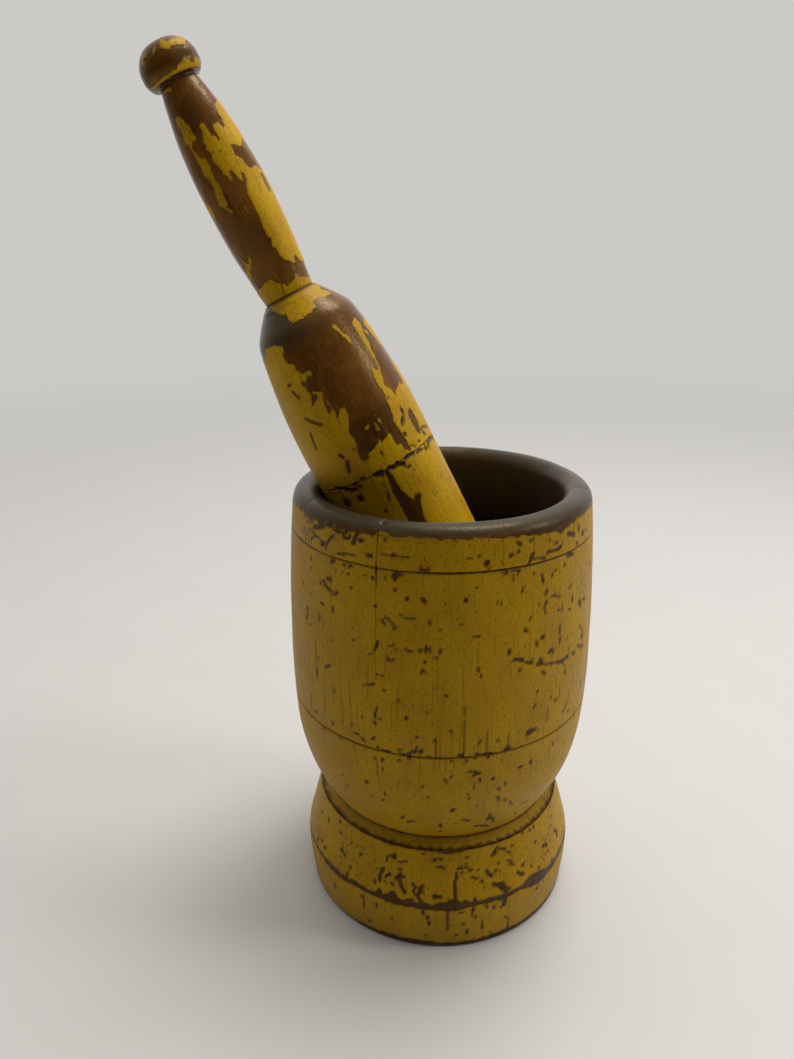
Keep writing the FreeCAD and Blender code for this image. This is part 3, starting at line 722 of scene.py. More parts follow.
def worn_shape(skin, ragged, slow):
    """Hand-turned and used: a little out of round, arrises rubbed down, dents in the rim."""
    height, angle = skin.height, skin.angle
    oval_wood = 0.12 * (1 + np.cos(np.radians(2 * (angle - 40))))
    above_base = skin.outside & (height > 2)
    skin.sink(oval_wood, above_base)
    skin.sink(0.05 * (1.5 + slow), above_base)
    rubbed = near(height, FOOT_ARRIS, 0.9) * (0.32 + 0.12 * ragged)
    rubbed = rubbed + near(height, FLARE_TOP, 0.5) * (0.14 + 0.06 * ragged)
    skin.sink(np.clip(rubbed, 0, 1), skin.outside)
    rim_wave = 0.10 * (1 + 0.5 * ripple(angle, height, 17, 6, 60))
    skin.sink(rim_wave * np.clip((height - RIM_SPRING) / 4, 0, 1))
    for dent_angle, dent_height, width, depth in RIM_DENTS:
        across = skin.around(dent_angle) / width
        up = (height - dent_height) / 1.6
        skin.sink(depth * np.exp(-across**2 - up**2), height > RIM_SPRING - 2)


def make_mortar():
    own_frame = mortar_frame()
    section = half_section("mortar", own_frame, MORTAR_HOLLOW)
    rows = fine_rows(section, mortar_pitch)
    slit = CHECK_ANGLE + np.arange(-0.9, 0.91, 0.15)
    skin = Skin(rows, columns(front=76, front_pitch=0.72, back_pitch=2.4, extra=slit))
    wear_mortar(skin)
    return spin("mortar_turned", skin, own_frame)


# ---------------------------------------------------------------- pestle head

SEAM = 198.4                        # mm up the pestle: the handle stands on the head here
HEAD_SCRIBE = 128.8
HEAD_RUBBED_BELOW = 74              # pounding has rubbed the paint off below
# The head's shoulder carries painted sheen from this height up.
SHOULDER_SHEEN_FROM = 180

# Bare wood from the shoulder down the front of the head.
HEAD_BARE = (
    (-180, 199), (-180, 183.5), (-150, 180), (-120, 184.5), (-90, 182.5), (-60, 183), (-50, 186),
    (-35, 186), (-25, 184.8), (-24, 183.6), (-28, 181), (-28, 179.5), (-26, 178.3), (-19.6, 176.7),
    (-20, 175.4), (-17.5, 173), (-15, 172.7), (-9, 173.3), (-6.6, 172.2), (-7, 170.8), (-8.5, 170),
    (-9.5, 170.8), (-13, 171.4), (-15, 170.4), (-17.6, 169.6), (-19, 170.7), (-22, 170.5), (-18.5, 168),
    (-18.6, 166.6), (-16.4, 165.4), (-12, 166.2), (-10, 165), (-6, 164.2), (-8, 162.8), (-8.6, 161.2),
    (-5.5, 160.6), (-4.5, 158.6), (-5, 157), (-3.5, 156), (-5.5, 153.8), (-2.5, 154.6), (0, 156),
    (5, 156.4), (5, 153), (3, 150.5), (-1.5, 147), (-1, 145), (0, 142), (-2, 140.5), (-3, 138),
    (-2.6, 135.6), (4, 135.8), (5, 137), (10, 137.6), (14, 138.8), (17, 139.2), (17.5, 140.4), (20, 138.6),
    (24, 139.2), (27.5, 140.2), (30, 139.8), (30.4, 135), (34.6, 134), (35, 131.6), (37, 130.8),
    (40.4, 130), (40.6, 134), (39.6, 136), (39.8, 138), (37.6, 142.6), (40, 144.4), (41.5, 149.6),
    (43, 155), (41.6, 157.6), (42, 160), (44, 161.4), (44.6, 163.2), (48, 163.2), (48.2, 162),
    (52.6, 161.6), (54.4, 161.6), (53, 160.4), (50, 157.5), (49, 156), (49.6, 154.6), (51.6, 154),
    (53, 152.6), (53.2, 150.6), (54.2, 150), (58, 151.4), (66, 152.6), (70, 153.4), (71, 152), (76.5, 151),
    (77.6, 156), (79, 161), (79, 166), (76.5, 169.5), (75, 172), (71, 177.4), (80, 178.8), (95, 181.5),
    (125, 184), (150, 180), (180, 183.5), (180, 199),
)

HEAD_BARE_PATCHES = (
    # front, below the scribed ring
    ((9.8, 128.6), (13, 128.6), (14, 125), (14.4, 121), (16, 117.4), (18.6, 115.8), (19, 114.6),
     (22, 113), (24.6, 114.8), (28.4, 114.6), (29, 113.4), (26, 111.6), (23, 108), (21.6, 101),
     (19.4, 95.6), (17.4, 99), (15, 92.8), (12.2, 97.6), (9.8, 95.4), (8.4, 102), (8, 108), (8.6, 113),
     (8, 119), (9.4, 124)),
    # beside the long patch
    ((-21, 161.2), (-18, 164), (-16.5, 165), (-13.6, 164.6), (-12.4, 163.8), (-15, 162.4), (-18, 161.8)),
    ((-9, 161), (-7, 160.4), (-6.2, 159), (-7.4, 156.6), (-9.6, 156.6), (-9.4, 159)),
    ((57, 134.2), (56.6, 138), (57.2, 141.4), (59, 142.8), (63.6, 143), (65, 141.6), (64.6, 137),
     (63.6, 134), (60.6, 132.7)),
    # across the right side and behind
    ((79, 166.4), (84, 168), (98, 172), (104, 164), (98, 158), (86, 160.6), (79, 161.6)),
    ((150, 176), (163, 175), (168, 158), (160, 140), (152, 131), (146, 142), (150, 158)),
    ((-130, 178), (-118, 176), (-112, 165), (-119, 158), (-124, 164), (-134, 168)),
    ((100, 168), (112, 165), (115, 148), (108, 136), (101, 142), (104, 154)),
)

# Painted islands: the collar round the seam, and what is left inside the bare wood.
HEAD_PAINT = (
    ((-62, 199), (-45, 198), (-35, 197), (-25, 195.4), (-15, 193.8), (-12, 193.4), (-9.6, 193.8),
     (-8, 192.4), (-7, 191), (-4.6, 190.2), (-2, 189.6), (2, 189.4), (10, 189.8), (20, 190.1), (30, 191.2),
     (31, 192.6), (34, 193.1), (48, 192.8), (64, 192.2), (69, 191.4), (71, 191.4), (69.6, 192.4),
     (73, 193.6), (70, 194.6), (66, 195), (72, 196), (80, 196.6), (90, 199)),
    # tall strip on the right
    ((52.4, 161.4), (53, 165), (52.6, 168), (53.4, 172), (54, 176), (55, 180.2), (57, 180.8),
     (63.6, 181.2), (65, 180), (66.4, 177.6), (64, 176.6), (65.2, 175.3), (68.6, 175.4), (69.6, 176.4),
     (70, 175), (67.4, 173.2), (65.5, 173.8), (62, 175.6), (61, 174), (60.4, 172.4), (61, 171),
     (57, 168.6), (57.6, 166.6), (56, 165), (55.4, 162.6), (54.6, 161.4)),
    # slanting stripe
    ((31, 182), (33, 182.8), (35.5, 182.4), (36.6, 180.6), (38, 178.6), (40.4, 178), (42, 176.4),
     (41, 175), (40, 173.8), (38, 174.6), (36.6, 177.2), (34.6, 178.4), (34.4, 180), (32.4, 181)),
    ((61.6, 170), (63, 170.4), (64.6, 169.4), (64.4, 168), (62.6, 167.8)),
    ((70.4, 158), (72.6, 158.6), (74.6, 157.6), (72.6, 156.6)),
    ((11, 146), (16.6, 147), (17, 145.4), (12.4, 145)),
    ((20.6, 146), (22.6, 145.6), (23.2, 143), (22.4, 142.2), (20.6, 142.8), (21, 144)),
    ((24.4, 146.2), (26.4, 147), (28, 146), (27.4, 144), (28, 141), (27.4, 140), (26.4, 140.6),
     (26.6, 143.6), (25.6, 145.2)),
    ((23.2, 148), (24, 149), (25.2, 148.6), (24.6, 147.8)),
    # behind
    ((-160, 199), (-150, 195), (-120, 193), (-100, 195), (-95, 199)),
    ((120, 199), (128, 194.6), (150, 192), (162, 195), (166, 199)),
)

HEAD_CHIPS = (
    (-36, 171.2, 1.9, 1.4), (42.5, 136.2, 1.2, 1.5), (47.2, 140.8, 3.3, 1.9, 50), (52, 143.8, 1, 2.9),
    (15, 134.6, 0.7, 2.4), (54, 131, 0.8, 0.5), (33.5, 117.6, 0.7, 0.7), (61, 114.2, 1.2, 0.9),
    (41.6, 111, 0.9, 1.3), (74, 110.6, 1.8, 0.7), (31.6, 125.4, 1.8, 1.2, 10), (58.5, 128.4, 0.8, 0.6),
    (44.8, 151, 0.9, 1), (-4, 141, 0.8, 1.2), (-20.5, 122.8, 3, 3), (-37, 122.6, 3.4, 3.6),
    (-5, 114.4, 1, 1.6), (3.4, 124, 0.9, 0.8), (2.8, 119.2, 0.6, 2, -20),
)

HEAD_SCRATCHES = (
    (1.1, (-34.4, 168.4), (-30.8, 165.8)), (1.2, (-34.4, 158), (-30, 156.6), (-25, 155)),
    (0.7, (-25, 155), (-20.4, 153.7)), (0.8, (-36, 152.4), (-37.6, 149), (-38, 146.2)),
    (0.8, (-18.4, 141.2), (-16.2, 139.5)), (1.5, (-18, 133.8), (-14.8, 137.6)),
    (0.8, (67.6, 131.2), (65, 132), (65.6, 133.7), (68.6, 134), (73, 133.2), (80, 132.3)),
    (0.4, (43, 131.6), (47, 130)),
)

# Where paint has broken out along the head's scribed ring.
HEAD_RING = (
    (0.9, (-41, 129.4), (-33, 128.6), (-28, 127.9)), (1.3, (-29, 128), (-25.6, 127.3)),
    (0.9, (-24.6, 126.8), (-18.6, 127.2)), (1, (-15.6, 127.4), (-14.4, 127.2)),
    (0.8, (-20.4, 128.6), (-17, 128.9)), (0.5, (-12, 129.6), (-8, 129.8)),
    (1.3, (1.2, 128.9), (3.4, 128.6)), (1.7, (4, 128.9), (7.2, 128.7)), (0.9, (6, 127.4), (7, 127.4)),
    (1.2, (14.6, 128.8), (17.6, 128.5), (20.6, 128.2)), (1.4, (23, 128.8), (25, 128), (28.6, 127.4)),
    (1, (31.4, 128.6), (35, 129), (41.4, 128.6)),
    (0.5, (45, 128.1), (49, 128.2), (54, 127.5), (58, 126.8)), (0.5, (61, 127), (64, 127)),
    (1.2, (65, 128), (68, 128.2)), (1.2, (70, 128.3), (75, 128), (84, 127.2)),
    (1.6, (105, 128.6), (112, 128.9)), (1.2, (138, 128.7), (146, 128.9)),
    (1.3, (172, 128.6), (180, 128.8)), (1.2, (-152, 128.8), (-146, 128.6)),
    (1.7, (-114, 128.9), (-104, 128.7)),
)

HEAD_HAIRLINES = (
    (12, 95, 128, 0.07), (-61, 150, 190, 0.06), (48, 168, 190, 0.05), (97, 40, 120, 0.1),
    (139, 120, 186, 0.1), (-143, 60, 140, 0.12),
)


def head_pitch(radius, height):
    in_socket = radius < SOCKET_HOLLOW[0] and height < 198
    if in_socket:
        return 5.0
    return 0.62 if height > 96 else 1.5


def wear_head(skin):
    angle, height = skin.angle, skin.height
    ragged = ripple(angle, height, 31, 26, 6)
    slow = ripple(angle, height, 32, 4, 30)

    scatter_chips(skin, 33, 40, (85, 275), (60, 180), 4.0)
    skin.strip(-skin.area(HEAD_BARE) + 0.08 * ragged)
    for outline in HEAD_BARE_PATCHES:
        skin.strip(-skin.area(outline) + 0.08 * ragged)
    for outline in HEAD_PAINT:
        skin.cover(skin.area(outline))
    skin.chips(HEAD_CHIPS, depth=0.1)
    skin.scratches(HEAD_SCRATCHES, depth=0.12)
    skin.scratches(HEAD_RING, depth=0.2)

    rubbed_below = HEAD_RUBBED_BELOW + 5 * slow + 1.6 * ragged
    skin.strip((height - rubbed_below) * 0.7)
    skin.paint = np.where(skin.outside, skin.paint, -FAR)

    skin.stain_and_shade(0.35, skin.outside & (skin.paint < BARE_EDGE) & (height < 150))
    skin.stain_and_shade(0.8 * near(height, HEAD_SCRIBE, 0.32), skin.outside)
    ring_edge = np.abs(height - HEAD_SCRIBE + 0.4) < 1.8
    skin.stain_and_shade(0.85, skin.outside & ring_edge & (skin.paint < 0.1))
    # Painted shade in the seam, under the handle's end.
    skin.stain_and_shade(0.8 * near(height, SEAM, 0.7), skin.outside)
    skin.stain_and_shade(0.3 * np.clip((30 - height) / 30, 0, 1) + 0 * angle)
    skin.flecks = 0.3 + 0.12 * slow + 0.3 * near(height, 118, 9)
    # Painted sheen: the shoulder's bare wood greyed on the side away from the lights.
    shaded_side = np.clip(0.6 - 0.75 * np.sin(np.radians(angle - 5)), 0, 1)
    skin.grey_and_sheen = 0.8 * np.clip((height - SHOULDER_SHEEN_FROM) / 6, 0, 1) * shaded_side
    skin.hairlines(HEAD_HAIRLINES)
    hand_turned = 0.06 * (1.6 + slow) + 0.08 * (1 + np.cos(np.radians(2 * (angle + 30))))
    skin.sink(hand_turned, skin.outside & (height < 196))
    skin.finish_relief()
    paint_in_line = 0.3 * near(height, HEAD_SCRIBE, 0.45)
    skin.sink(-paint_in_line, skin.outside)
    skin.sunk = np.where(height > SEAM - 0.05, 0, skin.sunk)


def make_head():
    own_frame = pestle_frame()
    rows = fine_rows(half_section("pestle_head", own_frame, SOCKET_HOLLOW), head_pitch)
    skin = Skin(rows, columns(front=90, front_pitch=1.25, back_pitch=2.2))
    wear_head(skin)
    return spin("pestle_head_turned", skin, own_frame)


# ---------------------------------------------------------------- pestle handle

NECK_UNDER_KNOB = 275.9
KNOB_DARK_BAND = 280.4

# Painted areas of the handle, as (angle, mm up the pestle).
HANDLE_PAINT = (
    # collar above the seam
    ((-180, 198), (-180, 204), (-140, 206), (-100, 203), (-60, 205.4), (-38, 205.2), (-30, 206),
     (-26, 206.6), (-20, 206.2), (-10, 206.3), (-8, 205.4), (-4, 204), (0, 203.8), (4, 203), (8, 202.8),
     (10, 201.8), (24, 201.9), (27, 202.4), (31, 202.6), (36, 203.4), (42, 203.4), (46, 202.6), (50, 202),
     (66, 201.4), (85, 200.6), (130, 204), (180, 204), (180, 198)),
    # low on the left
    ((-60, 212), (-54, 212), (-48, 213), (-46, 215), (-46, 217), (-44, 217.2), (-42, 216.2), (-41, 215),
     (-39, 214.4), (-35, 214.4), (-30, 215.8), (-27, 216.2), (-24, 215), (-24, 214.4), (-28, 214),
     (-32, 213.2), (-36, 212.2), (-42, 212), (-45, 211.4), (-46, 210), (-52, 209.2), (-60, 210)),
    ((-66, 238.6), (-60, 239.4), (-54, 238.4), (-50, 236.4), (-49, 234), (-52, 232.6), (-62, 232.6)),
    # upper left, and its tail
    ((-36, 264.6), (-34, 265.6), (-31, 266), (-27, 265.2), (-22, 265), (-19, 264), (-16, 262.2),
     (-12, 260.4), (-11, 258.6), (-10, 256.6), (-14, 256.2), (-20, 256.2), (-22, 255.4), (-25, 254.8),
     (-25, 253.4), (-21, 252.6), (-19, 251.8), (-18, 250.6), (-13, 250), (-12, 249), (-11, 247.4),
     (-11, 245), (-12, 243), (-11.6, 240), (-11, 238), (-12, 235.4), (-14, 234), (-17, 233.4),
     (-14, 232.6), (-11, 231.6), (-13, 231), (-17, 231.6), (-20, 232.4), (-23, 233.6), (-26, 234),
     (-28, 235.6), (-27, 237), (-24, 239), (-22, 241), (-22, 243), (-24, 244.6), (-28, 245), (-28, 246),
     (-26, 248), (-27, 250), (-28, 252.6), (-28.6, 255), (-30, 256.2), (-34, 256.6), (-34, 262),
     (-37, 262.4)),
    # sliver
    ((9, 231.4), (10.4, 230.4), (11.6, 229.6), (11.4, 228.6), (10.4, 227.8), (10, 229.4), (8.8, 230.4)),
    # front and right, down to the bare foot
    ((2, 245), (1, 246.6), (-1, 247.8), (-3, 248.6), (0, 249.6), (2, 250.4), (0, 251), (-3.4, 252),
     (0, 253.4), (-3, 254), (-3, 255), (0, 255.4), (4, 257.4), (4, 259.4), (9, 259.8), (14, 259.6),
     (15, 257), (16, 255), (20, 254.6), (23, 254), (23, 253), (25, 253.2), (25.6, 256), (27, 257.6),
     (30, 258), (40, 258), (41, 256.4), (43, 255.8), (46, 256.2), (49, 257.4), (51, 259.2), (50, 260),
     (51, 261), (54, 262), (58, 263.4), (63, 264.2), (75, 265.4), (95, 267), (110, 262), (95, 253.4),
     (78, 251.4), (72, 250.6), (60, 249), (55, 248.6), (50, 249), (45, 249.8), (41, 250), (38, 249),
     (37, 247.6), (36, 246.6), (42, 245.2), (46, 245), (47, 243), (49, 241.6), (55, 241), (60, 241.4),
     (66, 241.6), (72, 240.4), (80, 239.8), (95, 240.6), (120, 236), (125, 220), (110, 208), (95, 206.2),
     (75, 206.8), (68, 207.4), (64, 208.2), (60, 209), (56, 209.6), (54.6, 209), (53, 207.2), (50, 207),
     (44, 207.6), (40, 208.4), (36, 209), (29.6, 209.8), (28, 211), (25, 212), (25, 214.6), (20.4, 215.6),
     (24, 217.6), (23, 219), (21, 220), (21, 222.6), (23, 225), (22.8, 229), (24, 231), (23.6, 234.6),
     (26, 235.4), (29, 236.6), (32, 237.8), (34, 239.6), (33, 240.4), (30, 241), (28, 239.4), (26, 237.8),
     (24, 238.2), (22, 239.8), (20, 241.6), (19, 243), (13.4, 242.8), (13, 241.6), (12, 239.6),
     (8.6, 240.2), (7, 241.8), (5, 242.6), (3, 243)),
    # behind
    ((-150, 262), (-128, 266), (-112, 258), (-118, 246), (-126, 232), (-140, 226), (-155, 236),
     (-160, 250)),
    ((150, 270), (172, 268), (178, 254), (168, 246), (150, 250)),
    ((-100, 226), (-84, 228), (-76, 218), (-88, 212), (-102, 216)),
)

HANDLE_BARE = (
    ((67.6, 232.2), (68, 238), (71, 238.6), (79, 239), (80, 236), (78.5, 232.2)),
)

# Painted rests on the knob.
KNOB_PAINT = (
    ((-46, 284.4), (-44, 285.6), (-36, 285.8), (-28, 286.4), (-22, 286), (-20, 285.4), (-26, 285),
     (-32, 285), (-34, 283.4), (-38, 283), (-42, 283.6)),
    ((-12, 283.6), (-8, 284), (-2, 284.8), (2, 285.6), (0, 286.2), (-4, 286), (-8, 285.6), (-10, 284.6)),
    ((-18, 283.6), (-14, 286), (-13, 286), (-16.6, 283.6)),
    ((4, 286), (6, 287), (8, 287), (6, 286)),
    ((7, 285), (10, 286.6), (14, 287.4), (18, 287.4), (24, 286.8), (26, 285.8), (28, 286.4), (38, 286.2),
     (50, 286.6), (85, 287), (100, 286.6), (85, 284.8), (66, 284.4), (62, 283.6), (50, 283.2), (38, 283.8),
     (33, 283.6), (28, 284), (24, 283.2), (20, 283.2), (14, 284)),
    # lip above the neck
    ((-62, 276), (-60, 277.4), (-40, 277), (-20, 277.1), (0, 277.2), (18, 277.4), (20, 278), (28, 278.4),
     (35, 278.8), (39, 279.4), (44, 279.2), (48, 278.4), (50, 277.8), (58, 277.6), (59, 278.4),
     (62, 279.4), (67, 279.4), (70, 278.8), (85, 278), (90, 276)),
    # under the knob
    ((-44, 274.6), (-36, 274.8), (-16, 274.8), (-14, 274), (-17, 273), (-24, 273), (-32, 273.4),
     (-38, 274)),
    ((120, 282), (130, 287), (155, 288), (165, 284), (150, 280)),
    ((-140, 276), (-130, 280), (-110, 281), (-95, 278), (-92, 276)),
)

HANDLE_HAIRLINES = (
    (96, 205, 250, 0.07), (-140, 215, 265, 0.08),
)


def handle_pitch(radius, height):
    return 4.0 if height < 198 else 0.5


def wear_handle(skin):
    angle, height = skin.angle, skin.height
    ragged = ripple(angle, height, 41, 16, 5)
    slow = ripple(angle, height, 42, 3, 26)

    skin.paint[:] = -FAR
    for outline in HANDLE_PAINT + KNOB_PAINT:
        skin.cover(skin.area(outline))
    for outline in HANDLE_BARE:
        skin.strip(-skin.area(outline))
    skin.strip(np.abs(height - NECK_UNDER_KNOB) - 0.3 + 0 * angle)
    collar_crack = skin.line(((3.0, 203.4), (-1.0, 198.6)))
    skin.stain_and_shade(0.6 * np.clip(1.3 - collar_crack / 0.4, 0, 1))

    # Painted shade in the seam at the handle's foot, and in the neck under the knob, whose wood is also worn
    # bare there.
    skin.stain_and_shade(0.95 * near(height, SEAM, 0.55), skin.outside)
    skin.stain_and_shade(0.9 * near(height, NECK_UNDER_KNOB, 0.5), skin.outside)
    knob_band = near(height, KNOB_DARK_BAND, 1.8) * np.clip(0.75 + 0.2 * slow, 0, 1)
    skin.stain_and_shade(0.55 * knob_band, height > NECK_UNDER_KNOB)
    skin.flecks = 0.22 + 0.08 * slow
    # Painted sheen: the wood greyed a little all over, varying slowly.
    skin.grey_and_sheen = 0.12 + 0.08 * slow
    skin.hairlines(HANDLE_HAIRLINES)
    hand_turned = 0.04 * (1.6 + slow) + 0.04 * (1 + ragged * 0.3)
    skin.sink(hand_turned)
    skin.finish_relief()
    foot_arris = 0.25 * near(height, SEAM, 0.35)
    skin.sunk = np.maximum(skin.sunk, np.where(skin.outside, foot_arris, 0))
    on_foot = (height < SEAM + 0.02) & (np.abs(skin.out_axial) > 0.9)
    on_tenon = height < SEAM - 0.02
    skin.sunk = np.where(on_foot | on_tenon, 0, skin.sunk)


def make_handle():
    own_frame = pestle_frame()
    rows = fine_rows(half_section("pestle_handle", own_frame), handle_pitch)
    skin = Skin(rows, columns(front=100, front_pitch=1.9, back_pitch=3.6))
    wear_handle(skin)
    return spin("pestle_handle_turned", skin, own_frame)


# ---------------------------------------------------------------- materials

class Graph:
    """Short names for building one material's nodes."""

    def __init__(self, name):
        self.material = bpy.data.materials.new(name)
        self.material.use_nodes = True
        self.tree = self.material.node_tree
        self.shader = self.tree.nodes["Principled BSDF"]

    def put(self, socket, value):
        if isinstance(value, bpy.types.NodeSocket):
            self.tree.links.new(value, socket)
        else:
            socket.default_value = value

    def add(self, kind, **settings):
        node = self.tree.nodes.new(kind)
        for name, value in settings.items():
            setattr(node, name, value)
        return node

    def attribute(self, name):
        return self.add("ShaderNodeAttribute", attribute_name=name).outputs["Vector"]

    def parts(self, vector):
        node = self.add("ShaderNodeSeparateXYZ")
        self.put(node.inputs[0], vector)
        return node.outputs

    def join(self, x, y, z):
        node = self.add("ShaderNodeCombineXYZ")
        for socket, value in zip(node.inputs, (x, y, z)):
            self.put(socket, value)
        return node.outputs[0]

    def stretched(self, vector, scale):
        node = self.add("ShaderNodeVectorMath", operation="MULTIPLY")
        self.put(node.inputs[0], vector)
        self.put(node.inputs[1], scale)
        return node.outputs[0]

    def noise(self, vector, size, detail=2.0, along=1.0, rough=0.5):
        """Noise 0..1 whose features are size mm across, and along times longer down the grain."""
        node = self.add("ShaderNodeTexNoise")
        self.put(node.inputs["Vector"], self.stretched(vector, (1.0, 1.0, 1.0 / along)))
        self.put(node.inputs["Scale"], 1.0 / size)
        self.put(node.inputs["Detail"], detail)
        self.put(node.inputs["Roughness"], rough)
        return node.outputs["Fac"]

    def math(self, operation, a, b=0.0, c=0.0):
        node = self.add("ShaderNodeMath", operation=operation)
        for socket, value in zip(node.inputs, (a, b, c)):
            self.put(socket, value)
        return node.outputs[0]

    def spread(self, noise, size):
        """(noise - 0.5) * size"""
        return self.math("MULTIPLY_ADD", noise, size, -0.5 * size)

    def step(self, value, low, high, to_low=0.0, to_high=1.0):
        node = self.add("ShaderNodeMapRange", interpolation_type="SMOOTHSTEP")
        for socket, number in zip(node.inputs[:5], (value, low, high, to_low, to_high)):
            self.put(socket, number)
        return node.outputs[0]

    def mix(self, share, a, b, blend="MIX"):
        node = self.add("ShaderNodeMix", data_type="RGBA", blend_type=blend)
        self.put(node.inputs["Factor"], share)
        self.put(node.inputs[6], (*a, 1.0) if isinstance(a, tuple) else a)
        self.put(node.inputs[7], (*b, 1.0) if isinstance(b, tuple) else b)
        return node.outputs[2]


# Paint and wood as (deep, light) pairs.
MORTAR_PAINT = ((0.395, 0.208, 0.001), (0.450, 0.255, 0.001))
# The pestle's paint is a lighter copy of the mortar's: partly its own tone, partly painted light for the
# stronger fill light on the pestle.
PESTLE_PAINT = ((0.445, 0.235, 0.001), (0.560, 0.318, 0.001))
PAINT_DIRT = (0.110, 0.050, 0.004)
MORTAR_WOOD = ((0.080, 0.027, 0.003), (0.160, 0.063, 0.010))
HANDLE_WOOD = ((0.094, 0.032, 0.003), (0.225, 0.090, 0.013))
# Greyed old wood, whose colour also stands for painted sheen.
GREY_WOOD_AND_SHEEN = (0.044, 0.038, 0.026)
SHEEN = (1.0, 0.75, 0.30)
# Colour of dirt and of painted shade; cracks darken towards it too.
DIRT_AND_SHADE_COLOUR = (0.014, 0.008, 0.004)


def grain(graph, turned, pith):
    """Growth rings about a pith off the axis, fine fibres down the grain: both 0..1."""
    x, y, z = graph.parts(turned)
    warp = graph.noise(turned, 18.0, 2.0, along=6.0)
    from_x = graph.math("SUBTRACT", x, pith[0])
    from_y = graph.math("SUBTRACT", y, pith[1])
    squared = graph.math("MULTIPLY_ADD", from_x, from_x, graph.math("MULTIPLY", from_y, from_y))
    distance = graph.math("ADD", graph.math("SQRT", squared), graph.spread(warp, 9.0))
    rings = graph.noise(graph.join(distance, graph.math("MULTIPLY", z, 0.01), 0.0), 1.7, 3.0, rough=0.6)
    fibres = graph.noise(turned, 0.5, 3.0, along=16.0, rough=0.6)
    return rings, fibres


